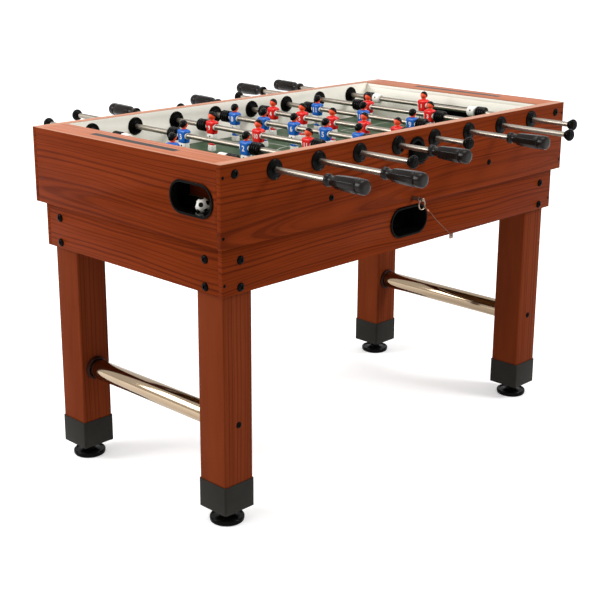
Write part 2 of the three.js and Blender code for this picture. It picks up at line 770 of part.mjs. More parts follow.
place('side_panel_far', sidePanel(false), woodRed);
place('side_panel_near', sidePanel(true), woodRed, halfTurn);
place('playfield', playfield(), pitchGreen);
place('apron_near', nearApron(), woodRed);
place('apron_far', longApron(), woodRed);
place('side_ball_return', sideReturn(), plasticBlack);
place('serve_cup_far', serveCup(), plasticBlack);
place('serve_cup_near', serveCup(), plasticBlack, halfTurn);
for (const [side, parent] of [['left', table], ['right', halfTurn]]) {
  place(`end_panel_${side}`, endPanel(), woodRed, parent);
  place(`goal_wall_${side}`, goalWall(), boardCream, parent);
  place(`top_cap_${side}`, topCap(), capPeach, parent);
  place(`apron_${side}`, endApron(), woodRed, parent);
  place(`ball_return_${side}`, endReturn(), plasticBlack, parent);
}

for (const [side, x] of [['left', -legX], ['right', legX]]) {
  place(`stretcher_${side}`, stretcher(), chrome).position.set(x, 0, stretcherHeight);
  for (const [row, y] of [['near', -legY], ['far', legY]]) {
    const corner = new THREE.Group();
    corner.position.set(x, y, 0);
    table.add(corner);
    place(`leg_${row}_${side}`, leg(), woodRed, corner);
    place(`leg_sleeve_${row}_${side}`, legSleeve(), sleeveBlack, corner);
    place(`foot_${row}_${side}`, levellingFoot(), sleeveBlack, corner);
  }
}

rods.forEach(({ kind, team, offset }, index) => {
  const axis = new THREE.Group();
  axis.position.set(rodX(index), offset, rodHeight);
  axis.rotation.z = team === 'red' ? Math.PI : 0;
  table.add(axis);
  const teamColour = team === 'red' ? teamRed : teamBlue;
  place(`rod_${index + 1}`, rodWithPlayers(rodKinds[kind]), teamColour, axis);
  place(`handle_${index + 1}`, handle(rodKinds[kind]), plasticBlack, axis);
  place(`bumper_${index + 1}`, bumper(rodKinds[kind]), rubberBlack, axis);
});

place('lock_pin', lockPin(), chrome);
place('pull_ring', pullRing(), steelWire);
place('lanyard', lanyard(), steelWire);
place('ball', ball(), ballWhite);

export default table;
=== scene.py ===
# Foosball table for the studio: boards, rods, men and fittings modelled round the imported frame.
# Metres, +Z up, X along the pitch from goal to goal, rods along Y.
import bpy
import bmesh
import math
from mathutils import Matrix, Vector


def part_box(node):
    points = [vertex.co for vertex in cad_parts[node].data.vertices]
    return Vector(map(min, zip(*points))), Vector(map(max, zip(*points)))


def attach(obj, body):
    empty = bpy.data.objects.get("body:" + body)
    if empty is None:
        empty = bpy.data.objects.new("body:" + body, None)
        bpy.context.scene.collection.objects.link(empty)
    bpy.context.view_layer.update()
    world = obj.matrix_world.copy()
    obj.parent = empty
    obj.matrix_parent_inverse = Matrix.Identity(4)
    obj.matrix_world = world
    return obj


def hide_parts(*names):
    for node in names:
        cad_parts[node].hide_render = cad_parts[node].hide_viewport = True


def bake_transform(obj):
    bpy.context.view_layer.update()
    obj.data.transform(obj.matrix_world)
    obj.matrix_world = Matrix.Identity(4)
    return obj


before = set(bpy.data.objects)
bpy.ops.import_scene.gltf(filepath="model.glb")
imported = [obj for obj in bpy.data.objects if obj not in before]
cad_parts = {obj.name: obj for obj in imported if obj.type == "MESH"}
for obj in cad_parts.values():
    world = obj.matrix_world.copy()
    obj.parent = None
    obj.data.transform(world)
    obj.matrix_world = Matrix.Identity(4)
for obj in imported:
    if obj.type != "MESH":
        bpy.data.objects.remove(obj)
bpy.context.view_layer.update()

# camera and light
camera = {
    "place": (-2.2207, -2.1135, 1.2946), "turn": 0.79466, "tilt": -0.28497, "roll": 0.0040,
    "lens": 74.883, "shift": (0.0074, -0.0392),
}
studio = {
    "skyStrength": 0.50, "floorSize": 80,
    "lamps": (
        {"name": "keyLamp", "place": (-3.0, 2.0, 2.3), "aim": (0, 0, 0.6), "size": 1.8, "power": 112},
        {"name": "fillLamp", "place": (1.9, -2.9, 2.9), "aim": (0.35, -0.2, 0.5), "size": 1.1, "power": 90},
        {"name": "topLamp", "place": (-0.4, 0.1, 4.2), "aim": (0, 0, 0.6), "size": 2.2, "power": 72},
    ),
}


def setUpCamera():
    ahead = Vector((
        math.sin(camera["turn"]) * math.cos(camera["tilt"]),
        math.cos(camera["turn"]) * math.cos(camera["tilt"]), math.sin(camera["tilt"])))
    right = ahead.cross(Vector((0, 0, 1))).normalized()
    up = right.cross(ahead)
    rolled = right * math.cos(camera["roll"]) + up * math.sin(camera["roll"])
    up = rolled.cross(ahead)
    data = bpy.data.cameras.new("studioCamera")
    data.lens = camera["lens"]
    data.sensor_width = 36
    data.shift_x, data.shift_y = camera["shift"]
    shot = bpy.data.objects.new("studioCamera", data)
    bpy.context.collection.objects.link(shot)
    turned = Matrix((rolled, up, -ahead)).transposed().to_4x4()
    shot.matrix_world = Matrix.Translation(camera["place"]) @ turned
    bpy.context.scene.camera = shot


def setUpLamps():
    for lamp in studio["lamps"]:
        data = bpy.data.lights.new(lamp["name"], "AREA")
        data.shape = "SQUARE"
        data.size = lamp["size"]
        data.energy = lamp["power"]
        light = bpy.data.objects.new(lamp["name"], data)
        bpy.context.collection.objects.link(light)
        light.location = lamp["place"]
        aim = Vector(lamp["aim"]) - Vector(lamp["place"])
        light.rotation_euler = aim.to_track_quat("-Z", "Y").to_euler()


setUpCamera()
setUpLamps()
bpy.context.scene.view_settings.view_transform = "Standard"
print("camera and lamps are up")


# modelling by hand
def leave():
    bpy.ops.object.mode_set(mode="OBJECT")


def startFresh():
    if bpy.context.object and bpy.context.object.mode == "EDIT":
        leave()
    bpy.ops.object.select_all(action="DESELECT")


def begin(add, **settings):
    # a new primitive, open in edit mode
    startFresh()
    add(**settings)
    bpy.ops.object.mode_set(mode="EDIT")
    return bpy.context.object


def takeUp(piece):
    startFresh()
    piece.select_set(True)
    bpy.context.view_layer.objects.active = piece


def editPiece(piece):
    takeUp(piece)
    bpy.ops.object.mode_set(mode="EDIT")
    bpy.ops.mesh.select_all(action="DESELECT")


def pick(kind, wanted):
    # selects vertices, edges or faces of the piece in edit mode by their place
    bpy.ops.mesh.select_mode(type=kind)
    bpy.ops.mesh.select_all(action="DESELECT")
    mesh = bmesh.from_edit_mesh(bpy.context.object.data)
    mesh.normal_update()
    for part in {"VERT": mesh.verts, "EDGE": mesh.edges, "FACE": mesh.faces}[kind]:
        if wanted(part):
            part.select_set(True)
    mesh.select_flush_mode()
    bmesh.update_edit_mesh(bpy.context.object.data)


def nudge(move):
    bpy.ops.transform.translate(value=move)


def widen(by, about=(0, 0, 0)):
    bpy.ops.transform.resize(value=by, center_override=about)


def pickAll():
    bpy.ops.mesh.select_all(action="SELECT")


def sliceAt(place, normal, **keep):
    # cuts the piece in edit mode by a plane, and keeps both sides unless told otherwise
    pickAll()
    bpy.ops.mesh.bisect(plane_co=place, plane_no=normal, **keep)


def settle():
    bpy.ops.object.transform_apply(location=True, rotation=True, scale=True)


def tidyMesh():
    pickAll()
    bpy.ops.mesh.remove_doubles(threshold=0.000005)
    bpy.ops.mesh.normals_make_consistent(inside=False)
    leave()


def useModifier(piece, kind, **settings):
    takeUp(piece)
    modifier = piece.modifiers.new(kind.lower(), kind)
    for name, value in settings.items():
        setattr(modifier, name, value)
    bpy.ops.object.modifier_apply(modifier=modifier.name)


def softenEdges(piece, width, segments=2, angle=35):
    useModifier(
        piece, "BEVEL", width=width, segments=segments, limit_method="ANGLE",
        angle_limit=math.radians(angle), use_clamp_overlap=True)


over = 0.01  # how far a cutter runs past what it cuts


def cutAway(piece, cutter):
    useModifier(piece, "BOOLEAN", operation="DIFFERENCE", solver="EXACT", object=cutter)
    bpy.data.objects.remove(cutter)


def ordered(first, second):
    # lowest and highest corner of two points
    return (tuple(min(a, b) for a, b in zip(first, second)),
            tuple(max(a, b) for a, b in zip(first, second)))


def addBoard(low, high, edge=0):
    startFresh()
    low, high = Vector(low), Vector(high)
    bpy.ops.mesh.primitive_cube_add(size=1, location=(low + high) / 2, scale=high - low)
    board = bpy.context.object
    settle()
    if edge:
        softenEdges(board, edge)
    return board


axes = {"X": Vector((1, 0, 0)), "Y": Vector((0, 1, 0)), "Z": Vector((0, 0, 1))}


def addTurned(profile, axis="Y", steps=32, place=(0, 0, 0), soften=0):
    # (radius, along) points drawn out from one vertex and spun round the axis; a profile that starts
    # and ends off the axis is closed into a ring
    outward = axes["Z"] if axis == "X" else axes["X"]
    points = [outward * radius + axes[axis] * along for radius, along in profile]
    if profile[0][0] and profile[-1][0]:
        points.append(points[0])
    turned = begin(bpy.ops.mesh.primitive_plane_add, size=0.001)
    bpy.ops.mesh.select_mode(type="VERT")
    pickAll()
    bpy.ops.mesh.merge(type="CENTER")
    nudge(points[0])
    for here, there in zip(points, points[1:]):
        bpy.ops.mesh.extrude_vertices_move(TRANSFORM_OT_translate={"value": there - here})
    pickAll()
    bpy.ops.mesh.spin(steps=steps, angle=math.tau, center=(0, 0, 0), axis=axes[axis])
    pickAll()
    nudge(place)
    tidyMesh()
    if soften:
        softenEdges(turned, soften)
    return turned


def addLoft(sections, corner=0.5, steps=2, rounding=1):
    # (height, half depth, half breadth, forward) sections, each pulled up out of the one below
    height, depth, breadth, forward = sections[0]
    loft = begin(bpy.ops.mesh.primitive_plane_add, size=2)
    bpy.ops.mesh.select_mode(type="VERT")
    pickAll()
    widen((depth, breadth, 1))
    bpy.ops.mesh.bevel(affect="VERTICES", offset=min(depth, breadth) * corner, segments=steps)
    nudge((forward, 0, height))
    for nextHeight, nextDepth, nextBreadth, nextForward in sections[1:]:
        bpy.ops.mesh.extrude_region_move(
            TRANSFORM_OT_translate={"value": (nextForward - forward, 0, nextHeight - height)})
        widen((nextDepth / depth, nextBreadth / breadth, 1), (nextForward, 0, nextHeight))
        height, depth, breadth, forward = nextHeight, nextDepth, nextBreadth, nextForward
    tidyMesh()
    if rounding:
        useModifier(loft, "SUBSURF", levels=rounding, render_levels=rounding)
    return loft


def addPill(face, at, width, height, steps=48):
    # a flat slot shape; face is the axis it looks along, at its middle
    turn = {"X": (math.pi / 2, 0, math.pi / 2), "Y": (math.pi / 2, 0, 0)}[face]
    pill = begin(bpy.ops.mesh.primitive_circle_add, vertices=steps, radius=height / 2, fill_type="NGON")
    bpy.ops.transform.rotate(value=math.pi / steps, orient_axis="Z", center_override=(0, 0, 0))
    for side in (-1, 1):
        pick("VERT", lambda corner: corner.co.x * side > 0)
        nudge((side * (width - height) / 2, 0, 0))
    leave()
    pill.rotation_euler = turn
    pill.location = at
    takeUp(pill)
    settle()
    return pill


def pullFace(wanted, move, inset=0):
    # insets and pulls out the faces that pass the test
    pick("FACE", wanted)
    if inset:
        bpy.ops.mesh.inset(thickness=inset)
    bpy.ops.mesh.extrude_region_move(TRANSFORM_OT_translate={"value": move})


def addTube(points, radius, name, sides=3):
    data = bpy.data.curves.new(name, "CURVE")
    data.dimensions = "3D"
    data.bevel_depth = radius
    data.bevel_resolution = sides
    data.use_fill_caps = True
    line = data.splines.new("NURBS")
    line.points.add(len(points) - 1)
    for knot, point in zip(line.points, points):
        knot.co = (*point, 1)
    line.order_u = 3
    line.resolution_u = 6
    line.use_endpoint_u = True
    tube = bpy.data.objects.new(name, data)
    bpy.context.collection.objects.link(tube)
    takeUp(tube)
    bpy.ops.object.convert(target="MESH")
    return bpy.context.object


def joinPieces(pieces):
    takeUp(pieces[0])
    for piece in pieces[1:]:
        piece.select_set(True)
    bpy.ops.object.join()
    return bpy.context.object


def finishPiece(piece, name, finish, slotName, stands=(), body="cabinet", smooth=32):
    takeUp(piece)
    settle()
    bpy.ops.object.shade_smooth_by_angle(angle=math.radians(smooth))
    piece.name = piece.data.name = name
    if finish:
        piece.data.materials.clear()
        piece.data.materials.append(finishes[finish])
    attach(piece, body)
    if stands:
        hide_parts(*stands)


def pieceName(node):
    first, *rest = node.split("_")
    return first + "".join(word.title() for word in rest)


def finishNode(piece, node, finish, slotName, body="cabinet"):
    # a piece that carries its node's name and stands for it
    finishPiece(piece, pieceName(node), finish, slotName, (node,), body)
    return piece.name


def shift(x=0, y=0, z=0):
    return Matrix.Translation((x, y, z))


noTurn = Matrix.Identity(4)
halfTurn = Matrix.Rotation(math.pi, 4, "Z")
ends = (("left", noTurn), ("right", halfTurn))


def copyShape(source, matrix=noTurn):
    # an unfinished copy with its own mesh, moved in its mesh
    twin = bpy.data.objects.new(source.name, source.data.copy())
    bpy.context.collection.objects.link(twin)
    twin.data.transform(matrix)
    return twin


def discard(*pieces):
    for piece in pieces:
        bpy.data.objects.remove(piece)


def moveAll(pieces, matrix):
    for piece in pieces:
        piece.data.transform(matrix)


def boxOf(node):
    return [Vector(corner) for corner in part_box(node)]


def middleOf(node):
    low, high = boxOf(node)
    return (low + high) / 2


# finishes
def tone(red, green, blue):
    # display values from 0 to 255, made linear
    shares = [value / 255 for value in (red, green, blue)]
    return tuple(s / 12.92 if s < 0.0405 else ((s + 0.055) / 1.055) ** 2.4 for s in shares) + (1,)


def feed(tree, node, inputs):
    # links the sockets among these values and sets the others
    for socket, value in inputs.items():
        if isinstance(value, bpy.types.NodeSocket):
            tree.links.new(value, node.inputs[socket])
        else:
            node.inputs[socket].default_value = value
    return node


def addNode(tree, kind, inputs=None, **settings):
    node = tree.nodes.new(kind)
    for name, value in settings.items():
        setattr(node, name, value)
    return feed(tree, node, inputs or {})


def newGroup(name, inputs, outputs):
    # inputs that start on a number are values, and the others are vectors
    group = bpy.data.node_groups.new(name, "ShaderNodeTree")
    for label, start in inputs.items():
        kind = "NodeSocketVector" if start is None else "NodeSocketFloat"
        socket = group.interface.new_socket(name=label, in_out="INPUT", socket_type=kind)
        if start is not None:
            socket.default_value = start
    for label in outputs:
        group.interface.new_socket(name=label, in_out="OUTPUT", socket_type="NodeSocketFloat")
    return group, addNode(group, "NodeGroupInput"), addNode(group, "NodeGroupOutput")


def calculate(tree, operation, first, second):
    return addNode(tree, "ShaderNodeMath", {0: first, 1: second}, operation=operation).outputs[0]


def stretch(tree, vector, by):
    return addNode(tree, "ShaderNodeVectorMath", {0: vector, 1: by}, operation="MULTIPLY").outputs[0]


def addNoise(tree, vector, detail, roughness, scale=1.0, distortion=0.0):
    return addNode(tree, "ShaderNodeTexNoise", {
        "Vector": vector, "Scale": scale, "Detail": detail, "Roughness": roughness,
        "Distortion": distortion}).outputs["Fac"]


def makeGrainGroup():
    # flat-sawn cherry: growth bands round a heart line along X, fine fibres and broad shade
    group, inside, outside = newGroup(
        "cherryGrain", {"Vector": None, "Bands": 90.0, "Sway": 0.06}, ("Band", "Fibre", "Shade"))
    vector = inside.outputs["Vector"]
    drift = addNoise(group, stretch(group, vector, (1.1, 5.0, 5.0)), 2.5, 0.42)
    push = calculate(group, "MULTIPLY", calculate(group, "SUBTRACT", drift, 0.5), inside.outputs["Sway"])
    aside = addNode(group, "ShaderNodeCombineXYZ", {"Y": push})
    drawn = addNode(group, "ShaderNodeVectorMath", {
        0: vector, 1: (0.045, 1.0, 0.06), 2: aside.outputs[0]}, operation="MULTIPLY_ADD")
    radius = addNode(group, "ShaderNodeVectorMath", {0: drawn.outputs[0]}, operation="LENGTH")
    count = calculate(group, "MULTIPLY", radius.outputs["Value"], inside.outputs["Bands"])
    rings = addNode(group, "ShaderNodeTexNoise", {
        "W": count, "Scale": 1.0, "Detail": 3.0, "Roughness": 0.55}, noise_dimensions="1D")
    band = addNode(group, "ShaderNodeMapRange", {
        "Value": rings.outputs["Fac"], "From Min": 0.44, "From Max": 0.68},
        interpolation_type="SMOOTHSTEP")
    fibre = addNoise(group, stretch(group, vector, (9.0, 320.0, 320.0)), 3.0, 0.6)
    shade = addNoise(group, stretch(group, vector, (2.4, 15.0, 15.0)), 3.0, 0.55)
    feed(group, outside, {"Band": band.outputs[0], "Fibre": fibre, "Shade": shade})
    return group


def makeSkinGroup():
    # moulded or handled skin: fine speckle, and smudges a hand's breadth across
    group, inside, outside = newGroup(
        "mouldedSkin", {"Vector": None, "Fineness": 900.0, "Spread": 22.0}, ("Speckle", "Smudge"))
    vector = inside.outputs["Vector"]
    speckle = addNoise(group, vector, 2.0, 0.6, inside.outputs["Fineness"])
    smudge = addNoise(group, vector, 3.0, 0.6, inside.outputs["Spread"], 0.4)
    feed(group, outside, {"Speckle": speckle, "Smudge": smudge})
    return group


grainGroup = makeGrainGroup()
skinGroup = makeSkinGroup()


def newMaterial(name):
    material = bpy.data.materials.new(name)
    material.use_nodes = True
    tree = material.node_tree
    tree.nodes.clear()
    shader = addNode(tree, "ShaderNodeBsdfPrincipled")
    addNode(tree, "ShaderNodeOutputMaterial", {"Surface": shader.outputs[0]})
    return material, tree, shader, addNode(tree, "ShaderNodeTexCoord").outputs["Object"]


def spread(tree, value, low, high):
    # a mask stretched between two values
    stretched = addNode(tree, "ShaderNodeMapRange", {
        "Value": value, "From Min": 0.25, "From Max": 0.75, "To Min": low, "To Max": high})
    return stretched.outputs[0]


def blendTones(tree, mask, first, second):
    return addNode(tree, "ShaderNodeMix", {0: mask, 6: first, 7: second}, data_type="RGBA").outputs[2]


def makeBump(tree, height, distance):
    bump = addNode(tree, "ShaderNodeBump", {"Height": height, "Distance": distance, "Strength": 1.0})
    return bump.outputs[0]


laminate = {
    "base": (105, 39, 11), "streak": (58, 17, 5), "glow": (128, 52, 18),
    "roughness": (0.36, 0.48), "fibreDepth": 0.00004, "bandShare": 0.50, "fibreShare": 0.26,
}


def makeLaminate(name, turn, heart, bands=165.0, sway=0.08, tones=laminate):
    # cherry laminate; turn lays the grain along the board and heart places its widest figure
    material, tree, shader, place = newMaterial(name)
    laid = addNode(tree, "ShaderNodeMapping", {"Vector": place, "Rotation": turn, "Location": heart})
    grain = addNode(tree, "ShaderNodeGroup", node_tree=grainGroup)
    fibre = feed(tree, grain, {"Vector": laid.outputs[0], "Bands": bands, "Sway": sway}).outputs["Fibre"]
    bandPart = calculate(tree, "MULTIPLY", grain.outputs["Band"], laminate["bandShare"])
    streaks = calculate(tree, "ADD", bandPart, spread(tree, fibre, 0.0, laminate["fibreShare"]))
    warm = blendTones(tree, spread(tree, grain.outputs["Shade"], 0.0, 0.7),
                      tone(*tones["base"]), tone(*tones["glow"]))
    feed(tree, shader, {
        "Base Color": blendTones(tree, streaks, warm, tone(*tones["streak"])),
        "Roughness": spread(tree, fibre, *laminate["roughness"]), "Specular IOR Level": 0.012,
        "Normal": makeBump(tree, fibre, laminate["fibreDepth"])})
    return material


def addSkin(tree, place, fineness, breadth=22.0):
    skin = addNode(tree, "ShaderNodeGroup", node_tree=skinGroup)
    feed(tree, skin, {"Vector": place, "Fineness": fineness, "Spread": breadth})
    return skin.outputs["Speckle"], skin.outputs["Smudge"]


def makePlastic(name, colour, roughness, fineness, grainDepth, gloss, fade):
    # moulded plastic or rubber, a little uneven in colour and shine
    material, tree, shader, place = newMaterial(name)
    speckle, smudge = addSkin(tree, place, fineness)
    base = tone(*colour)
    dark = tuple(value * (1 - fade) for value in base[:3]) + (1,)
    light = tuple(min(1, value * (1 + fade) + 0.002) for value in base[:3]) + (1,)
    feed(tree, shader, {
        "Base Color": blendTones(tree, spread(tree, smudge, 0, 1), dark, light),
        "Roughness": spread(tree, smudge, roughness * 0.85, roughness * 1.2),
        "Specular IOR Level": gloss, "Normal": makeBump(tree, speckle, grainDepth)})
    return material


def makeMetal(name, colour, roughness):
    material, tree, shader, place = newMaterial(name)
    speckle, smudge = addSkin(tree, place, 500.0, 14.0)
    base = tone(*colour)
    dull = tuple(value * 0.86 for value in base[:3]) + (1,)
    feed(tree, shader, {
        "Base Color": blendTones(tree, spread(tree, smudge, 0, 0.6), base, dull),
        "Roughness": spread(tree, smudge, roughness * 0.7, roughness * 1.5), "Metallic": 1.0,
        "Normal": makeBump(tree, speckle, 0.00001)})
    return material


def layGrain(*names):
    # the turn that lays these axes on a texture's X, Y and Z
    rows = [-axes[name[-1]] if name.startswith("-") else axes[name] for name in names]
    return Matrix(rows).to_euler()


legTones = {"base": (104, 43, 18), "streak": (68, 24, 9), "glow": (122, 56, 28)}
capTones = {"base": (180, 112, 84), "streak": (140, 78, 55), "glow": (194, 130, 102)}
finishes = {
    "sideLaminate": makeLaminate("sideLaminate", layGrain("X", "Z", "-Y"), (-0.30, -0.665, 0)),
    "apronLaminate": makeLaminate("apronLaminate", layGrain("X", "Z", "-Y"), (0.25, -0.500, 0)),
    "endLaminate": makeLaminate("endLaminate", layGrain("Y", "Z", "X"), (0.16, -0.668, 0)),
    "endApronLaminate": makeLaminate("endApronLaminate", layGrain("Y", "Z", "X"), (-0.10, -0.640, 0)),
    "legLaminate": makeLaminate("legLaminate", layGrain("Z", "X", "Y"), (0.2, 0.02, 0), 120.0, 0.03,
                                legTones),
    "peach": makeLaminate("peachBoard", layGrain("Y", "X", "-Z"), (0, 0.3, 0), 110.0, 0.03, capTones),
    "chrome": makeMetal("chromeRod", (144, 136, 125), 0.35),
    # the stretcher tube's tan tint is painted reflection: it stands in for the wood mirrored in the chrome,
    # not the metal's own colour
    "tube": makeMetal("reflectionTintedTube", (166, 146, 122), 0.1),
    "steel": makeMetal("brightSteel", (156, 140, 122), 0.22),
    "pin": makeMetal("pinSteel", (128, 108, 96), 0.35),
    "copper": makeMetal("crimpCopper", (196, 122, 84), 0.3),
    "wire": makeMetal("wireRope", (112, 80, 64), 0.45),
}
# short name, material, colour, roughness, fineness, grain depth, gloss, unevenness
plastics = (
    ("edgeBand", "peachEdge", (182, 128, 103), 0.42, 400, 0.00004, 0.05, 0.05),
    ("cream", "creamBoard", (251, 246, 234), 0.45, 500, 0.00004, 0.05, 0.02),
    ("pitch", "pitchPrint", (36, 66, 38), 0.32, 700, 0.00004, 0.06, 0.08),
    ("line", "linePrint", (190, 190, 180), 0.32, 700, 0.00004, 0.06, 0.03),
    ("core", "boardCore", (112, 78, 48), 0.8, 1200, 0.00004, 0.05, 0.12),
    ("inlay", "darkInlay", (26, 20, 20), 0.3, 400, 0.00004, 0.03, 0.18),
    ("black", "blackPlastic", (9, 8, 7), 0.16, 1500, 0.00002, 0.03, 0.18),
    ("shell", "glossyBlack", (6, 6, 5), 0.08, 900, 0.000006, 0.022, 0.18),
    ("sleeve", "sleevePlastic", (31, 29, 25), 0.5, 1600, 0.00008, 0.08, 0.18),
    ("grip", "gripPlastic", (19, 14, 11), 0.2, 900, 0.00001, 0.13, 0.18),
    # the stretcher sockets' brown is painted reflection, standing in for the wood mirrored in their cups
    ("socket", "brownReflectionSocket", (44, 18, 11), 0.3, 800, 0.00004, 0.08, 0.18),
    ("rubber", "blackRubber", (8, 7, 7), 0.22, 1200, 0.00002, 0.10, 0.18),
    ("white", "whitePlastic", (232, 228, 220), 0.28, 600, 0.00004, 0.2, 0.03),
    ("ball", "ballPlastic", (236, 232, 222), 0.35, 600, 0.00004, 0.2, 0.03),
    ("blue", "blueJersey", (22, 94, 182), 0.24, 800, 0.00004, 0.25, 0.06),
    ("red", "redJersey", (216, 26, 22), 0.24, 800, 0.00004, 0.25, 0.06),
    ("skin", "skinPaint", (236, 82, 44), 0.3, 800, 0.00004, 0.25, 0.05),
    ("hair", "hairPaint", (7, 6, 6), 0.16, 700, 0.00004, 0.06, 0.18),
)
for key, *settings in plastics:
    finishes[key] = makePlastic(*settings)
print("finishes are mixed")

# places from the frame
bearingProud = 0.007
sideLow, sideHigh = boxOf("side_panel_far")
endHigh = boxOf("end_panel_left")[1]
wallLow, wallHigh = boxOf("goal_wall_left")
capLow, capHigh = boxOf("top_cap_left")
pitchTop = boxOf("playfield")[1].z
apronLow, apronHigh = boxOf("apron_far")
endApronLow, endApronHigh = boxOf("apron_left")

halfLength = sideHigh.x
sideInner = sideLow.y + bearingProud
sideOuter = sideHigh.y - bearingProud
rimTop = sideHigh.z
panelBottom = sideLow.z
endInner = -endHigh.x
lipInner = endHigh.y
goalFace = -wallHigh.x
goalBack = -wallLow.x
rodHeight = middleOf("handle_1").z
bandThickness = 0.0008
liningThickness = 0.005


# lanyard, the one cord
lanyard = {
    "diameter": 0.0018, "strands": 6, "twistLength": 0.011,
    "route": (
        (0.0153, -0.3518, 0.6257), (0.0200, -0.3522, 0.6220), (0.0275, -0.3513, 0.6164),
        (0.0365, -0.3490, 0.6098), (0.0460, -0.3462, 0.6030), (0.0560, -0.3432, 0.5962),
        (0.0665, -0.3401, 0.5894), (0.0770, -0.3370, 0.5828), (0.0875, -0.3339, 0.5764),
        (0.0980, -0.3308, 0.5702), (0.1085, -0.3277, 0.5641), (0.1190, -0.3246, 0.5580),
        (0.1290, -0.3215, 0.5522), (0.1385, -0.3183, 0.5466), (0.1475, -0.3150, 0.5412),
        (0.1555, -0.3122, 0.5366), (0.1620, -0.3106, 0.5330), (0.1666, -0.3088, 0.5306),
        (0.1682, -0.3060, 0.5298)),
}


def smoothRoute(points, steps):
    # finer points on a curve through these
    fine = []
    for index in range(len(points) - 1):
        before, after = points[max(index - 1, 0)], points[min(index + 2, len(points) - 1)]
        here, there = points[index], points[index + 1]
        for step in range(steps):
            t = step / steps
            fine.append(0.5 * (
                2 * here + (there - before) * t + (2 * before - 5 * here + 4 * there - after) * t * t
                + (3 * here - before - 3 * there + after) * t ** 3))
    return fine + [points[-1]]


def makeLanyard():
    # a wire rope: a six-lobed section carried along the route and twisted as it goes
    route = [Vector(point) for point in lanyard["route"]]
    fine = smoothRoute(route, 9)
    sides = 3 * lanyard["strands"]
    rope = begin(
        bpy.ops.mesh.primitive_circle_add, vertices=sides, radius=lanyard["diameter"] / 2,
        fill_type="NGON")
    pick("VERT", lambda corner: corner.index % 3 == 0)
    widen((0.72, 0.72, 1))
    leave()
    heading = (fine[1] - fine[0]).normalized()
    section = axes["Z"].rotation_difference(heading)
    rope.data.transform(shift(*fine[0]) @ section.to_matrix().to_4x4())
    editPiece(rope)
    pickAll()
    for index in range(1, len(fine)):
        step = fine[index] - fine[index - 1]
        ahead = (fine[min(index + 1, len(fine) - 1)] - fine[index - 1]).normalized()
        bpy.ops.mesh.extrude_region_move(TRANSFORM_OT_translate={"value": step})
        swing = heading.rotation_difference(ahead).to_matrix().to_4x4()
        heading = ahead
        twist = Matrix.Rotation(math.tau * step.length / lanyard["twistLength"], 4, heading)
        move = shift(*fine[index]) @ twist @ swing @ shift(*-fine[index])
        mesh = bmesh.from_edit_mesh(rope.data)
        bmesh.ops.transform(mesh, matrix=move, verts=[v for v in mesh.verts if v.select])
        bmesh.update_edit_mesh(rope.data)
    tidyMesh()
    takeUp(rope)
    bpy.ops.object.shade_smooth_by_angle(angle=math.radians(50))
    rope.name = rope.data.name = "lanyardRope"
    rope.data.materials.append(finishes["wire"])
    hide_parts("lanyard")
    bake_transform(rope)


makeLanyard()


# cabinet boards
serveHoleRadius = 0.019
serveHoleHeight = 0.771
pinHole = {"x": -0.008, "z": 0.656, "radius": 0.0052}


def addHoleCutter(x, z, radius, y0, y1, steps=48):
    return addTurned(((0, y0), (radius, y0), (radius, y1), (0, y1)), "Y", steps, (x, 0, z))


def makeSidePanel(node, turn, holes):
    # modelled as the far panel, then turned for the near side
    seam, bandFoot = sideInner + liningThickness, rimTop - bandThickness
    board = addBoard((-halfLength, seam, panelBottom), (halfLength, sideOuter, bandFoot))
    lining = addBoard((-endInner, sideInner, panelBottom), (endInner, seam, bandFoot))
    band = addBoard((-halfLength, sideInner, bandFoot), (halfLength, sideOuter, rimTop))
    for part in (board, band):
        for end in (-1, 1):
            cutAway(part, addBoard(*ordered(
                (end * endInner, sideInner - over, panelBottom - over),
                (end * (halfLength + over), lipInner, rimTop + over))))
    for part in (board, lining):
        for x, z, radius, steps in holes:
            cutAway(part, addHoleCutter(x, z, radius, sideInner - over, sideOuter + over, steps))
    softenEdges(board, 0.0005)
    softenEdges(band, 0.0004)
    softenEdges(lining, 0.0004)
    moveAll((board, lining, band), turn)
    name = finishNode(board, node, "sideLaminate", "cabinet_laminate")
    finishPiece(lining, name + "Lining", "cream", "cream_board")
    finishPiece(band, name + "Rim", "edgeBand", "peach_board")


returns = {
    "width": 0.134, "height": 0.072, "border": 0.0052, "proud": 0.003, "wall": 0.0025,
    "y": -0.233, "z": 0.734, "sideZ": 0.597, "sideBack": -0.2535, "gap": 0.0003,
}
capRebate = {"lip": 0.005, "depth": 0.012}


def addPillCutter(face, at, width, height, move):
    cutter = addPill(face, at, width, height)
    editPiece(cutter)
    pullFace(lambda part: True, move)
    tidyMesh()
    return cutter


def throatSize():
    # width and height of the hole that a return's throat passes through
    room = 2 * (returns["wall"] + returns["gap"]) - 2 * returns["border"]
    return returns["width"] + room, returns["height"] + room


def makeEndPanel(node, turn):
    # modelled as the left-hand panel
    board = addBoard((-halfLength, -lipInner, panelBottom), (-endInner, lipInner, rimTop))
    cutAway(board, addBoard(
        (-halfLength + capRebate["lip"], -sideInner, rimTop - capRebate["depth"]),
        (-endInner + over, sideInner, rimTop + over)))
    cutAway(board, addPillCutter(
        "X", (-halfLength - over, returns["y"], returns["z"]), *throatSize(), (0.04, 0, 0)))
    band = copyShape(board)
    for part, side in ((band, "clear_inner"), (board, "clear_outer")):
        editPiece(part)
        sliceAt((0, 0, rimTop - bandThickness), (0, 0, 1), use_fill=True, **{side: True})
        tidyMesh()
    softenEdges(board, 0.0005)
    softenEdges(band, 0.0003)
    moveAll((board, band), turn)
    name = finishNode(board, node, "endLaminate", "cabinet_laminate")
    finishPiece(band, name + "Rim", "edgeBand", "peach_board")


inlay = {"width": 0.020, "depth": 0.0005, "set": 0.00005, "x": 0.568, "y": 0.145}


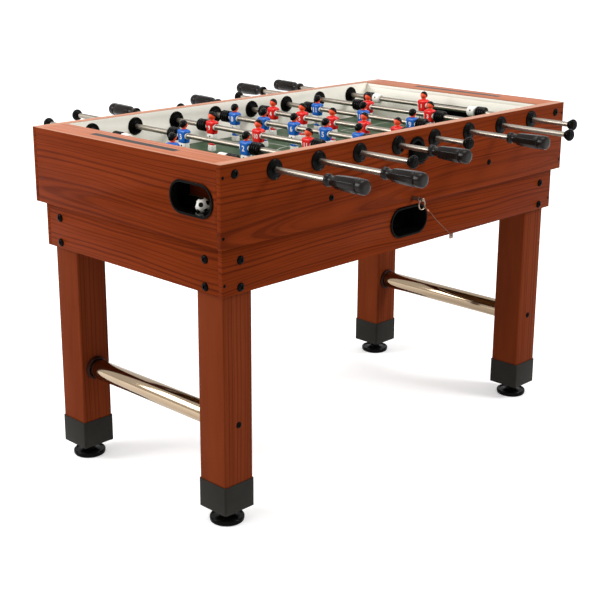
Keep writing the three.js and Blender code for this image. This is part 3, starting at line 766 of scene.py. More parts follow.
def makeTopCap(node, turn):
    # salmon top board with a bare dark inlay strip; the wall's lining runs up over its edge
    seam, lipFoot = capHigh.x - 0.0008, rimTop - 0.0030
    board = addBoard(capLow, (seam, capHigh.y, capHigh.z), edge=0.0005)
    stripLow = (-inlay["x"] - inlay["width"] / 2, -inlay["y"], rimTop - inlay["depth"])
    stripHigh = (-inlay["x"] + inlay["width"] / 2, inlay["y"], rimTop + inlay["depth"])
    cutAway(board, addBoard(stripLow, stripHigh))
    strip = addBoard(stripLow, (stripHigh[0], stripHigh[1], rimTop - inlay["set"]))
    lining = addBoard((seam, capLow.y, capLow.z), (capHigh.x, capHigh.y, lipFoot), edge=0.0003)
    lip = addBoard((seam, capLow.y, lipFoot), (capHigh.x, capHigh.y, rimTop), edge=0.0003)
    moveAll((board, strip, lining, lip), turn)
    name = finishNode(board, node, "peach", "peach_board")
    finishPiece(strip, name + "Inlay", "inlay", "black_plastic")
    finishPiece(lining, name + "Lining", "cream", "cream_board")
    finishPiece(lip, name + "Lip", "edgeBand", "peach_board")


goal = {"half": 0.100, "top": 0.782, "lining": 0.001}


def addGoalBoard(low, high, turn):
    board = addBoard(low, high)
    cutAway(board, addBoard(
        (wallLow.x - over, -goal["half"], wallLow.z - over),
        (wallHigh.x + over, goal["half"], goal["top"])))
    softenEdges(board, 0.0003)
    board.data.transform(turn)
    return board


def makeGoalWall(node, turn):
    # cream towards the pitch, brown board behind
    seam = wallHigh.x - goal["lining"]
    back = addGoalBoard(wallLow, (seam, wallHigh.y, wallHigh.z), turn)
    finishPiece(back, pieceName(node) + "Back", "sideLaminate", "cabinet_laminate")
    face = addGoalBoard((seam, wallLow.y, wallLow.z), wallHigh, turn)
    finishNode(face, node, "cream", "cream_board")


serveHole = (0, serveHoleHeight, serveHoleRadius, 48)
lockHole = (-pinHole["x"], pinHole["z"], pinHole["radius"], 24)
makeSidePanel("side_panel_far", noTurn, (serveHole,))
makeSidePanel("side_panel_near", halfTurn, (serveHole, lockHole))
for word, turn in ends:
    makeEndPanel("end_panel_" + word, turn)
    makeTopCap("top_cap_" + word, turn)
    makeGoalWall("goal_wall_" + word, turn)
print("cabinet boards are up")

pitch = {
    "thickness": 0.009, "print": 0.0012, "batten": 0.024, "battenX": 0.286, "battenWidth": 0.040,
    "lineWidth": 0.003, "lineHeight": 0.00012, "circle": 0.098, "spot": 0.006,
    "boxes": ((0.275, 0.166), (0.440, 0.115)),
}
lineFoot, lineTop = pitchTop - 0.0004, pitchTop + pitch["lineHeight"]


def addStripe(x0, x1, y0, y1):
    return addBoard(*ordered((x0, y0, lineFoot), (x1, y1, lineTop)))


def addHoop(inner, outer, steps):
    return addTurned(((inner, lineFoot), (outer, lineFoot), (outer, lineTop), (inner, lineTop)), "Z", steps)


def makePitch():
    underside, seam = pitchTop - pitch["thickness"], pitchTop - pitch["print"]
    board = addBoard((-goalBack, -sideInner, underside), (goalBack, sideInner, seam), edge=0.0006)
    grass = addBoard((-goalBack, -sideInner, seam), (goalBack, sideInner, pitchTop), edge=0.0002)
    finishPiece(board, "pitchBoard", "core", "pitch_board", ("playfield",))
    finishPiece(grass, "pitchPrint", "pitch", "pitch_board")
    for side, word in ((-1, "Left"), (1, "Right")):
        x, half = side * pitch["battenX"], pitch["battenWidth"] / 2
        batten = addBoard(
            (x - half, -sideInner, underside - pitch["batten"]), (x + half, sideInner, underside),
            edge=0.0012)
        finishPiece(batten, "pitchBatten" + word, "core", "pitch_board")
    half, circle = pitch["lineWidth"] / 2, pitch["circle"]
    lines = [addStripe(-half, half, -sideInner, sideInner),
             addHoop(circle - pitch["lineWidth"], circle, 72), addHoop(0, pitch["spot"], 24)]
    for side in (-1, 1):
        for boxX, boxY in pitch["boxes"]:
            lines.append(addStripe(side * (boxX - half), side * (boxX + half), -boxY, boxY))
            for edge in (-1, 1):
                lines.append(addStripe(
                    side * boxX, side * goalFace, edge * (boxY - half), edge * (boxY + half)))
    finishPiece(joinPieces(lines), "pitchLines", "line", "pitch_board")


makePitch()
print("pitch is laid")

# lower frame
frameEdge = 0.0006


def makeAprons():
    far = addBoard(apronLow, apronHigh, edge=frameEdge)
    finishNode(far, "apron_far", "apronLaminate", "cabinet_laminate")
    near = addBoard(
        (apronLow.x, -apronHigh.y, apronLow.z), (apronHigh.x, -apronLow.y, apronHigh.z))
    cutAway(near, addPillCutter(
        "Y", (0, -apronHigh.y - over, returns["sideZ"]), *throatSize(), (0, 0.04, 0)))
    softenEdges(near, frameEdge)
    finishNode(near, "apron_near", "apronLaminate", "cabinet_laminate")
    for word, turn in ends:
        board = addBoard(endApronLow, endApronHigh, edge=frameEdge)
        board.data.transform(turn)
        finishNode(board, "apron_" + word, "endApronLaminate", "cabinet_laminate")


cleat = {"low": (-0.033, -0.2974, 0.6006), "high": (0.017, -0.2794, 0.6716)}
anchorTab = {"low": (0.1624, -0.3055, 0.5233), "high": (0.1744, -0.3015, 0.5352)}


def makeCleat():
    low, high = cleat["low"], cleat["high"]
    block = addBoard(low, high)
    cutAway(block, addHoleCutter(
        pinHole["x"], pinHole["z"], pinHole["radius"], low[1] - over, high[1] + over, 24))
    cutAway(block, addPillCutter("Y", (0, low[1] - over, returns["sideZ"]), *throatSize(), (0, 0.04, 0)))
    softenEdges(block, 0.0010)
    finishPiece(block, "lockCleat", "core", "cabinet_laminate")
    tab = addBoard(anchorTab["low"], anchorTab["high"], edge=0.0008)
    finishPiece(tab, "lanyardTab", "pin", "bright_steel")


legShape = {"corner": 0.004, "sleeveCorner": 0.005, "sleeveWall": 0.0019, "sleeveHollow": 0.0635}
corners = ("near_left", "near_right", "far_left", "far_right")


def addPost(low, high, corner):
    # square post with rounded corners, left open in edit mode
    post = addBoard(low, high)
    editPiece(post)
    pick("EDGE", lambda edge: abs(edge.verts[0].co.z - edge.verts[1].co.z) > 0.05)
    bpy.ops.mesh.bevel(offset=corner, segments=5, affect="EDGES")
    return post


def makeLegs():
    post = addPost(*boxOf("leg_near_left"), legShape["corner"])
    tidyMesh()
    low, high = boxOf("leg_sleeve_near_left")
    sleeve = addPost(low, high, legShape["sleeveCorner"])
    pullFace(lambda face: face.normal.z > 0.9, (0, 0, -legShape["sleeveHollow"]), legShape["sleeveWall"])
    tidyMesh()
    softenEdges(sleeve, 0.0006, angle=50)
    centre = (low + high) / 2
    for place in corners:
        move = shift(*(middleOf("leg_sleeve_" + place) - centre))
        finishNode(copyShape(post, move), "leg_" + place, "legLaminate", "leg_laminate")
        finishNode(copyShape(sleeve, move), "leg_sleeve_" + place, "sleeve", "leg_plastic")
    discard(post, sleeve)


footShape = {"radius": 0.0389, "height": 0.021, "rim": 0.0125, "stem": 0.006, "stemTop": 0.083}


def makeFeet():
    radius, rim, height = footShape["radius"], footShape["rim"], footShape["height"]
    stem, stemTop = footShape["stem"], footShape["stemTop"]
    foot = addTurned((
        (0, 0), (radius - 0.0040, 0), (radius - 0.0012, 0.0015), (radius, 0.005), (radius, rim - 0.002),
        (radius - 0.0015, rim), (radius - 0.0045, rim), (radius - 0.0065, rim - 0.0025),
        (0.022, rim - 0.0015), (0.016, rim + 0.001), (0.0135, rim + 0.005), (0.013, height),
        (stem, height), (stem, stemTop), (0, stemTop)), "Z", 64, soften=0.0005)
    for place in corners:
        centre = middleOf("foot_" + place)
        finishNode(copyShape(foot, shift(centre.x, centre.y)), "foot_" + place, "black",
                   "leg_plastic", "levelling_" + place)
    discard(foot)


stretcherShape = {"radius": 0.024, "wall": 0.0016, "flange": 0.029, "flangeLength": 0.006}


def makeStretchers():
    radius, flange = stretcherShape["radius"], stretcherShape["flange"]
    bore, sleeve = radius - stretcherShape["wall"], radius + 0.0001
    for word in ("left", "right"):
        at = middleOf("stretcher_" + word)
        end = boxOf("stretcher_" + word)[1].y
        shoulder = end - stretcherShape["flangeLength"]
        # chrome tube, its tan tint a painted reflection of the wood around it
        tube = addTurned((
            (bore, -end + 0.001), (radius, -end + 0.001), (radius, end - 0.001), (bore, end - 0.001)),
            "Y", 64, at, soften=0.0002)
        finishNode(tube, "stretcher_" + word, "tube", "chrome_tube")
        # socket cup at each end of the tube; its brown finish is painted reflection of the wood
        socket = addTurned((
            (sleeve, end), (flange, end), (flange, end - 0.0015), (flange - 0.0012, shoulder),
            (flange - 0.0026, shoulder - 0.0016), (radius + 0.0006, shoulder - 0.0020),
            (sleeve, shoulder - 0.0012)), "Y", 64, at, soften=0.0004)
        mirrored = copyShape(socket, Matrix.Scale(-1, 4, axes["Y"]))
        mirrored.data.flip_normals()
        for cup, tail in ((socket, "Far"), (mirrored, "Near")):
            finishPiece(cup, f"stretcherSocket{word.title()}{tail}", "socket", "leg_plastic")


makeAprons()
makeCleat()
makeLegs()
makeFeet()
makeStretchers()
print("lower frame is up")

# ball returns, serve cups and ball
tray = {
    "outer": 0.5952, "inner": 0.5418, "low": -0.2965, "high": 0.1125, "floor": 0.6935,
    "top": 0.7192, "rise": 0.016, "rest": -0.225, "ramp": 0.014,
}
hood = {"inner": 0.5420, "outer": 0.5945, "half": 0.154, "bottom": 0.7215, "top": 0.8030, "wall": 0.0015}


def addTrayBody(inset, top):
    # long trough whose floor falls from both ends to the ball's resting place
    body = addBoard((-tray["outer"] + inset, tray["low"] + inset, tray["floor"] + inset),
                    (-tray["inner"] - inset, tray["high"] - inset, top))
    editPiece(body)
    sliceAt((0, tray["rest"], 0), (0, 1, 0))
    low = tray["floor"] + 0.005
    for side, end, rise in ((1, tray["high"], tray["rise"]), (-1, tray["low"], tray["ramp"])):
        pick("VERT", lambda corner: corner.co.z < low and side * (corner.co.y - end) > -0.005)
        nudge((0, 0, rise))
    tidyMesh()
    return body


def faceAt(axis, place):
    # faces that lie square to the axis at this place
    def wanted(face):
        return abs(face.calc_center_median()[axis] - place) < 0.0001 and abs(face.normal[axis]) > 0.9
    return wanted


def makeBezel():
    # bezel and throat drawn from one slot
    front, throatEnd = -halfLength - returns["proud"], -tray["outer"] + returns["wall"]
    bezel = addPill("X", (-halfLength, returns["y"], returns["z"]), returns["width"], returns["height"])
    editPiece(bezel)
    pullFace(lambda face: True, (-returns["proud"], 0, 0))
    pullFace(faceAt(0, front), (throatEnd - front, 0, 0), returns["border"])
    pullFace(faceAt(0, -halfLength), (throatEnd + halfLength, 0, 0), returns["border"] - returns["wall"])
    pick("FACE", faceAt(0, throatEnd))
    bpy.ops.mesh.delete(type="ONLY_FACE")
    pick("EDGE", lambda edge: len(edge.link_faces) == 1)
    bpy.ops.mesh.bridge_edge_loops()
    tidyMesh()
    softenEdges(bezel, 0.0016, 4)
    return bezel


def makeTrough():
    trough = addTrayBody(0, tray["top"])
    cutAway(trough, addTrayBody(returns["wall"], tray["top"] + over))
    cutAway(trough, addPillCutter(
        "X", (-halfLength, returns["y"], returns["z"]),
        returns["width"] - 2 * returns["wall"], returns["height"] - 2 * returns["wall"], (0.02, 0, 0)))
    softenEdges(trough, 0.0004)
    return trough


def makeHood():
    outer, inner, half, foot, top, wall = (
        hood[key] for key in ("outer", "inner", "half", "bottom", "top", "wall"))
    cover = addBoard((-outer, -half, foot), (-inner, half, top))
    cutAway(cover, addBoard(
        (-outer + wall, -half + wall, foot - over), (-inner - wall, half - wall, top - wall)))
    cutAway(cover, addBoard(
        (-inner - 2 * wall, -goal["half"], foot - over), (-inner + wall, goal["half"], goal["top"])))
    softenEdges(cover, 0.0003)
    return cover


def makeEndReturns():
    # modelled on the left
    models = (makeBezel(), makeTrough(), makeHood())
    for word, turn in ends:
        bezel, trough, cover = (copyShape(model, turn) for model in models)
        finishPiece(bezel, "returnBezel" + word.title(), "shell", "black_plastic", ("ball_return_" + word,))
        finishPiece(trough, "returnTray" + word.title(), "black", "black_plastic")
        finishPiece(cover, "goalHood" + word.title(), "black", "black_plastic")
    discard(*models)


def makeSideReturn():
    face = -apronHigh.y
    front, back = face - returns["proud"], returns["sideBack"]
    cup = addPill("Y", (0, face, returns["sideZ"]), returns["width"], returns["height"])
    editPiece(cup)
    pullFace(lambda part: True, (0, -returns["proud"], 0))
    pullFace(faceAt(1, front), (0, back - returns["wall"] - front, 0), returns["border"])
    pullFace(faceAt(1, face), (0, back - face, 0), returns["border"] - returns["wall"])
    tidyMesh()
    softenEdges(cup, 0.0016, 4)
    finishPiece(cup, "sideReturnCup", "shell", "black_plastic", ("side_ball_return",))


serve = {
    "width": 0.056, "top": 0.799, "bottom": 0.733, "plate": 0.003, "hole": 0.017, "rim": 0.772,
    "drop": 0.032, "reach": 0.035, "wall": 0.0025, "tube": 0.0187,
}


def makeServeCups():
    half, y0 = serve["width"] / 2, sideOuter
    plate = addBoard((-half, y0, serve["bottom"]), (half, y0 + serve["plate"], serve["top"]))
    editPiece(plate)
    pick("EDGE", lambda edge: edge.verts[0].co.z > serve["top"] - 0.0001
         and abs(edge.verts[0].co.y - edge.verts[1].co.y) > 0.001)
    bpy.ops.mesh.bevel(offset=half * 0.999, segments=14, affect="EDGES", clamp_overlap=False)
    tidyMesh()
    cutAway(plate, addHoleCutter(0, serveHoleHeight, serve["hole"], y0 - over, y0 + 0.02))
    softenEdges(plate, 0.0007, 3, 50)
    tube = addTurned((
        (serve["hole"], sideInner), (serve["tube"], sideInner), (serve["tube"], y0 + 0.001),
        (serve["hole"], y0 + 0.001)), "Y", 48, (0, 0, serveHoleHeight))
    rim, wall = serve["rim"], serve["wall"]
    floor = rim - serve["drop"]
    bowl = addTurned((
        (0, floor), (half * 0.35, floor + 0.0006), (half * 0.62, floor + 0.003),
        (half * 0.84, floor + 0.009), (half * 0.96, floor + 0.017), (half, floor + 0.025),
        (half, rim - 0.0008), (half - 0.0008, rim), (half - wall, rim), (half - wall, floor + 0.025),
        (half * 0.96 - wall, floor + 0.018), (half * 0.82 - wall, floor + 0.0115),
        (half * 0.6 - wall, floor + 0.007), (0, floor + 0.0045)), "Z", 48)
    editPiece(bowl)
    pickAll()
    widen((1, serve["reach"] / half, 1))
    nudge((0, y0, 0))
    sliceAt((0, y0 + 0.001, 0), (0, 1, 0), clear_inner=True, use_fill=True)
    tidyMesh()
    cup = joinPieces([plate, tube, bowl])
    near = copyShape(cup, halfTurn)
    finishNode(near, "serve_cup_near", "shell", "black_plastic")
    finishNode(cup, "serve_cup_far", "shell", "black_plastic")


def makeBall():
    # white ball with black spots let into it
    centre, radius = middleOf("ball"), 0.016
    startFresh()
    bpy.ops.mesh.primitive_ico_sphere_add(subdivisions=5, radius=radius, location=centre)
    ball = bpy.context.object
    settle()
    ball.data.materials.append(finishes["ball"])
    ball.data.materials.append(finishes["hair"])
    golden = (1 + math.sqrt(5)) / 2
    spots = []
    for a in (-1, 1):
        for b in (-golden, golden):
            spots += [Vector((0, a, b)), Vector((a, b, 0)), Vector((b, 0, a))]
    turn = Matrix.Rotation(0.5, 3, "X") @ Matrix.Rotation(0.35, 3, "Z")
    spots = [(turn @ spot).normalized() for spot in spots]
    editPiece(ball)
    pick("FACE", lambda face: any(
        (face.calc_center_median() - centre).normalized().dot(spot) > 0.945 for spot in spots))
    ball.active_material_index = 1
    bpy.ops.object.material_slot_assign()
    bpy.ops.mesh.inset(thickness=0.0001, depth=-0.00015)
    leave()
    finishPiece(ball, "matchBall", None, "ball_plastic", ("ball",), "ball_body", 40)


makeEndReturns()
makeSideReturn()
makeServeCups()
makeBall()
print("ball returns and serve cups are in")

# rods
rodKinds = {
    "goalie": {"spots": (0,), "handle": 0.468, "cap": 0.467, "bumper": 0.195, "collar": 0.166},
    "pair": {"spots": (-0.107, 0.107), "handle": 0.512, "cap": 0.522, "bumper": 0.141, "collar": 0},
    "three": {"spots": (-0.164, 0, 0.164), "handle": 0.456, "cap": 0.465, "bumper": 0.195, "collar": 0},
    "five": {"spots": (-0.212, -0.106, 0, 0.106, 0.212), "handle": 0.424, "cap": 0.418,
             "bumper": 0.243, "collar": 0},
}
rodRow = (
    ("goalie", "blue", 0, (1,)), ("pair", "blue", 0.008, (2, 3)), ("three", "red", -0.002, (9, 10, 11)),
    ("five", "blue", 0.0094, (4, 5, 6, 7, 8)), ("five", "red", 0.003, (4, 5, 6, 7, 8)),
    ("three", "blue", 0.016, (9, 10, 11)), ("pair", "red", 0.008, (2, 3)), ("goalie", "red", 0.028, (1,)),
)
rodShape = {"radius": 0.00635, "socket": 0.082, "seat": 0.010, "bore": 0.0068, "pitch": 0.131}


def rodX(index):
    return (index - (len(rodRow) - 1) / 2) * rodShape["pitch"]


def rodAxis(index):
    # lays a shape made about the origin on its rod; red looks the other way
    team, offset = rodRow[index][1:3]
    return shift(rodX(index), offset, rodHeight) @ (halfTurn if team == "red" else noTurn)


def makeBearings():
    # outer and inner flange of one bearing at +Y, copied to all sixteen
    bore = rodShape["bore"]
    profile = (
        (bore, 0.0070), (0.0092, 0.0070), (0.0102, 0.0062), (0.0106, 0.0046), (0.0128, 0.0037),
        (0.0180, 0.0030), (0.0192, 0.0036), (0.0206, 0.0034), (0.0216, 0.0026), (0.0220, 0.0014),
        (0.0220, 0))
    outer = [(radius, sideOuter + along) for radius, along in profile]
    inner = [(radius, sideInner - along) for radius, along in reversed(profile)]
    bearing = addTurned(outer + inner, "Y", 48, (0, 0, rodHeight))
    for index in range(len(rodRow)):
        for word, turn in (("Far", noTurn), ("Near", halfTurn)):
            copy = copyShape(bearing, shift(rodX(index)) @ turn)
            finishPiece(copy, f"bearing{word}{index + 1}", "black", "black_plastic")
    discard(bearing)


bumperShape = {
    "radius": 0.015, "length": 0.028, "groove": 0.0036, "ribs": 4,
    "crest": ((0.06, 0), (0.12, 0.30), (0.20, 0.66), (0.30, 0.90), (0.42, 1), (0.58, 1), (0.70, 0.90),
              (0.80, 0.66), (0.88, 0.30), (0.94, 0)),
}


def modelBumper():
    # ribbed rubber ring about the rod
    radius, half, bore = bumperShape["radius"], bumperShape["length"] / 2, rodShape["bore"]
    floor = radius - bumperShape["groove"]
    profile = [(bore, -half), (floor, -half)]
    step = 2 * half / bumperShape["ribs"]
    for rib in range(bumperShape["ribs"]):
        start = -half + rib * step
        for along, rise in bumperShape["crest"]:
            profile.append((floor + rise * bumperShape["groove"], start + along * step))
    profile += [(floor, half), (bore, half)]
    return addTurned(profile, "Y", 40)


collarShape = {"radius": 0.0135, "length": 0.025, "screw": 0.0024, "screwTurn": 72}


def modelCollar():
    # goalie's stop collar with two set screws let into it
    radius, half, bore = collarShape["radius"], collarShape["length"] / 2, rodShape["radius"]
    collar = addTurned((
        (bore, -half), (radius - 0.0025, -half), (radius, -half + 0.0025), (radius, half - 0.0025),
        (radius - 0.0025, half), (bore, half)), "Y", 48, soften=0.0006)
    collar.data.materials.append(finishes["white"])
    screws = []
    for angle in (-collarShape["screwTurn"], collarShape["screwTurn"]):
        turn = Matrix.Rotation(math.radians(angle), 4, "Y")
        size = collarShape["screw"]
        cutter = addTurned(((0, 0.0115), (size, 0.0115), (size, 0.02), (0, 0.02)), "Z", 20)
        cutter.data.transform(turn)
        cutAway(collar, cutter)
        screw = addTurned(((0, 0.0105), (size - 0.0003, 0.0105), (size - 0.0003, 0.0122),
                           (0.0009, 0.0125), (0.0009, 0.0117), (0, 0.0117)), "Z", 20)
        screw.data.materials.append(finishes["shell"])
        screw.data.transform(turn)
        screws.append(screw)
    return joinPieces([collar] + screws)


capShape = {"radius": 0.0145, "shift": 0.004}


def modelEndCap():
    # safety cap on the rod's far end: a short cone swelling to a rounded face
    radius = capShape["radius"]
    return addTurned((
        (rodShape["radius"], -0.0095), (0.0078, -0.0095), (0.0086, -0.0088), (0.0112, -0.0050),
        (0.0134, -0.0012), (0.0142, 0.0008), (radius, 0.0024), (0.0143, 0.0044), (0.0134, 0.0064),
        (0.0118, 0.0082), (0.0096, 0.0094), (0.0090, 0.0094), (0.0084, 0.0088), (0.0044, 0.0088),
        (0.0038, 0.0096), (0, 0.0100)), "Y", 48)


handleShape = {"length": 0.105, "sides": 8, "bore": 0.00665}


def modelHandle():
    # moulded grip pointing to -Y: flange, waist, eight-sided body, groove and a rounded end
    length, bore = handleShape["length"], handleShape["bore"]
    neck = addTurned((
        (bore, 0), (0.0118, 0), (0.0130, -0.0012), (0.0130, -0.0085), (0.0122, -0.0100),
        (0.0106, -0.0114), (0.0100, -0.0145), (0.0103, -0.0180), (0.0114, -0.0220), (0.0122, -0.0255),
        (0.0118, -0.0300), (bore, -0.0310)), "Y", 48)
    body = addTurned((
        (bore, -0.0225), (0.0118, -0.0230), (0.0136, -0.0250), (0.0148, -0.0290), (0.0156, -0.0480),
        (0.0163, -0.0700), (0.0166, -0.0838), (0.0162, -0.0850), (0.0120, -0.0854), (bore, -0.0854)),
        "Y", handleShape["sides"])
    body.data.transform(Matrix.Rotation(math.pi / handleShape["sides"], 4, "Y"))
    softenEdges(body, 0.0006, 2, 40)
    knob = addTurned((
        (bore, -0.0835), (0.0146, -0.0835), (0.0146, -0.0858), (0.0154, -0.0861), (0.0158, -0.0870),
        (0.0160, -0.0910), (0.0158, -length + 0.0060), (0.0152, -length + 0.0032),
        (0.0140, -length + 0.0012), (0.0118, -length + 0.0002), (0.0060, -length), (0, -length),
        (0, -0.0825), (bore, -0.0825)), "Y", 48)
    return joinPieces([neck, body, knob])


makeBearings()
print("bearings are in")

# the men
manShape = {
    "jersey": (
        (-0.0176, 0.0086, 0.0120, 0), (-0.0172, 0.0094, 0.0130, 0), (-0.0080, 0.0098, 0.0134, 0),
        (0.0010, 0.0106, 0.0143, 0), (0.0078, 0.0109, 0.0160, 0), (0.0108, 0.0103, 0.0160, 0),
        (0.0134, 0.0084, 0.0128, 0), (0.0150, 0.0064, 0.0080, 0)),
    "shorts": (
        (-0.0312, 0.0082, 0.0128, 0), (-0.0308, 0.0088, 0.0134, 0), (-0.0210, 0.0086, 0.0128, 0),
        (-0.0155, 0.0080, 0.0120, 0)),
    "leg": (
        (-0.0440, 0.0042, 0.0038, 0.0006), (-0.0385, 0.0046, 0.0040, 0.0004),
        (-0.0320, 0.0055, 0.0046, 0), (-0.0270, 0.0060, 0.0052, 0)),
    "sock": (
        (-0.0462, 0.0056, 0.0076, 0.0008), (-0.0458, 0.0062, 0.0082, 0.0008),
        (-0.0404, 0.0058, 0.0080, 0.0004), (-0.0400, 0.0050, 0.0072, 0.0004)),
    "shoe": (
        (-0.0600, 0.0076, 0.0084, 0.0018), (-0.0596, 0.0082, 0.0090, 0.0018),
        (-0.0530, 0.0080, 0.0090, 0.0016), (-0.0462, 0.0074, 0.0088, 0.0012),
        (-0.0454, 0.0066, 0.0080, 0.0010)),
    "neck": ((0.0110, 0.0068, 0.0070, 0), (0.0200, 0.0066, 0.0068, 0.0004)),
    "legGap": 0.0055, "boss": 0.0088, "bossLength": 0.031, "bore": 0.0064,
    "head": (0.0095, 0.0090, 0.0108), "headHeight": 0.0245,
}


def giveSlots(piece, index):
    # one shared list of paints on every part of a man, so that they join without doubles
    piece.data.materials.clear()
    for paint in manPaints:
        piece.data.materials.append(paint)
    for face in piece.data.polygons:
        face.material_index = index
    return piece


manPaints = [finishes["blue"], finishes["white"], finishes["skin"], finishes["hair"]]
jersey, whitePaint, skinPaint, hairPaint = range(4)


def addHead():
    head = begin(bpy.ops.mesh.primitive_uv_sphere_add, segments=24, ring_count=16, radius=1)
    pick("VERT", lambda corner: corner.co.z < -0.35)
    widen((0.90, 0.84, 1))
    pick("VERT", lambda corner: corner.co.z < -0.70)
    widen((0.90, 0.86, 0.96))
    pickAll()
    widen(manShape["head"])
    nudge((0.0003, 0, manShape["headHeight"]))
    leave()
    return head


def addNose():
    # a plain moulded ridge, the same on every man
    return addLoft((
        (0.0212, 0.0010, 0.0012, 0.0094), (0.0218, 0.0014, 0.0013, 0.0094),
        (0.0262, 0.0006, 0.0008, 0.0090)), 0.6)


def addHair():
    # cap of hair over the crown and down the nape
    hair = begin(bpy.ops.mesh.primitive_uv_sphere_add, segments=28, ring_count=18, radius=1)
    deep, wide, tall = manShape["head"]
    widen((deep * 1.09, wide * 1.10, tall * 1.05))
    nudge((-0.0002, 0, manShape["headHeight"] + 0.0004))
    sliceAt((0.0048, 0, 0.0292), (-0.62, 0, 0.78), clear_inner=True, use_fill=True)
    sliceAt((-0.004, 0, 0.0190), (-0.25, 0, 0.97), clear_inner=True, use_fill=True)
    tidyMesh()
    softenEdges(hair, 0.0006, 2, 50)
    return hair


def modelMan():
    lofts = ((addLoft(manShape["jersey"]), jersey), (addLoft(manShape["shorts"]), whitePaint),
             (addLoft(manShape["shoe"], 0.45), whitePaint), (addLoft(manShape["neck"], 0.9), skinPaint),
             (addHead(), skinPaint), (addNose(), skinPaint), (addHair(), hairPaint),
             (addLoft(manShape["sock"], 0.5), jersey))
    parts = [giveSlots(part, paint) for part, paint in lofts]
    for side in (-1, 1):
        leg = addLoft(manShape["leg"], 0.7)
        leg.data.transform(shift(y=side * manShape["legGap"]))
        parts.append(giveSlots(leg, whitePaint))
    half, radius, bore = manShape["bossLength"] / 2, manShape["boss"], manShape["bore"]
    boss = addTurned((
        (bore, -half), (radius - 0.0012, -half), (radius, -half + 0.0012), (radius, half - 0.0012),
        (radius - 0.0012, half), (bore, half)), "Y", 32)
    parts.append(giveSlots(boss, whitePaint))
    for angle in (0, math.pi):
        # clamp screw through the shorts
        screw = addTurned(((0, 0.0078), (0.0020, 0.0078), (0.0020, 0.0090), (0, 0.0094)), "X", 12)
        screw.data.transform(shift(z=-0.0235) @ Matrix.Rotation(-angle, 4, "Z"))
        parts.append(giveSlots(screw, hairPaint))
    return joinPieces(parts)


numberShape = {
    "chest": 0.0150, "back": 0.0178, "height": -0.0030, "step": 0.0017, "proud": 0.00025,
    "thickness": 0.0006,
}


def addNumber(man, number, size, side):
    # a plain figure printed on the chest or the back, laid to the jersey's curve
    startFresh()
    bpy.ops.object.text_add()
    figure = bpy.context.object
    text = figure.data
    text.body, text.size, text.offset, text.resolution_u = str(number), size, size * 0.022, 3
    text.align_x = text.align_y = "CENTER"
    bpy.ops.object.convert(target="MESH")
    figure = bpy.context.object
    figure.rotation_euler = (math.pi / 2, 0, side * math.pi / 2)
    figure.location = (side * 0.02, 0, numberShape["height"])
    settle()
    editPiece(figure)
    for index in range(-7, 8):
        for across in (axes["Y"], axes["Z"]):
            sliceAt(across * (index + 0.5) * numberShape["step"], across)
    leave()
    useModifier(figure, "SHRINKWRAP", target=man, wrap_method="PROJECT", use_project_x=True,
                use_positive_direction=side < 0, use_negative_direction=side > 0,
                offset=numberShape["proud"])
    useModifier(figure, "SOLIDIFY", thickness=numberShape["thickness"], offset=-1)
    editPiece(figure)
    tidyMesh()
    return figure


def makeMen():
    man = modelMan()
    for index, (kind, team, _, numbers) in enumerate(rodRow):
        for spot, number in zip(rodKinds[kind]["spots"], numbers):
            parts = [copyShape(man)]
            for place, side in (("chest", 1), ("back", -1)):
                parts.append(giveSlots(addNumber(man, number, numberShape[place], side), whitePaint))
            figure = joinPieces(parts)
            figure.data.transform(rodAxis(index) @ shift(y=spot))
            figure.data.materials[jersey] = finishes[team]
            finishPiece(figure, f"man{team.title()}{index + 1}number{number}", None, "player_" + team,
                        body=f"spin_{index + 1}", smooth=42)
    discard(man)


def makeRods():
    models = bumper, collar, endCap, handle = (
        modelBumper(), modelCollar(), modelEndCap(), modelHandle())
    radius = rodShape["radius"]
    for index, row in enumerate(rodRow):
        size, axis = rodKinds[row[0]], rodAxis(index)
        tail, spin, slide = str(index + 1), f"spin_{index + 1}", f"slide_{index + 1}"
        start, end = -size["handle"] - rodShape["socket"], size["cap"] + rodShape["seat"]
        bar = addTurned(((0, start), (radius - 0.001, start), (radius, start + 0.001),
                         (radius, end - 0.001), (radius - 0.001, end), (0, end)), "Y", 40)
        bar.data.transform(axis)
        finishPiece(bar, "rodBar" + tail, "chrome", "chrome_rod", ("rod_" + tail,), spin)
        # model, place along the rod, name, finish, slot, nodes it stands for, body
        fittings = [
            (handle, -size["handle"], "handle", "grip", "handle_plastic", ("handle_" + tail,), spin),
            (endCap, size["cap"] + capShape["shift"], "endCap", "black", "handle_plastic", (), spin),
            (bumper, -size["bumper"], "bumperNear", "rubber", "black_rubber", ("bumper_" + tail,), slide),
            (bumper, size["bumper"], "bumperFar", "rubber", "black_rubber", (), spin)]
        if size["collar"]:
            for word, side in (("Near", -1), ("Far", 1)):
                fittings.append((
                    collar, side * size["collar"], "stopCollar" + word, None, "stop_collar", (), spin))
        for model, along, name, *looks in fittings:
            finishPiece(copyShape(model, axis @ shift(y=along)), name + tail, *looks)
    discard(*models)


makeRods()
print("rods are in their bearings")
makeMen()
print("men are on the rods")

# bolts and screws
boltShape = {"radius": 0.0095, "height": 0.0050, "socket": 0.0036, "socketDepth": 0.0026}


def modelBolt(size):
    # domed hex-socket head looking along +Y, its seat at y 0
    radius, height, hollow, depth = (
        boltShape[key] * size for key in ("radius", "height", "socket", "socketDepth"))
    dome = [(radius * math.cos(a), height * (0.15 + 0.85 * math.sin(a)))
            for a in (math.radians(step * 11.25) for step in range(8))]
    bolt = addTurned([(0, -0.001), (radius, -0.001)] + dome + [(0, height)], "Y", 32)
    cutAway(bolt, addTurned((
        (0, height - depth), (hollow, height - depth), (hollow, height + 0.002), (0, height + 0.002)),
        "Y", 6))
    return bolt


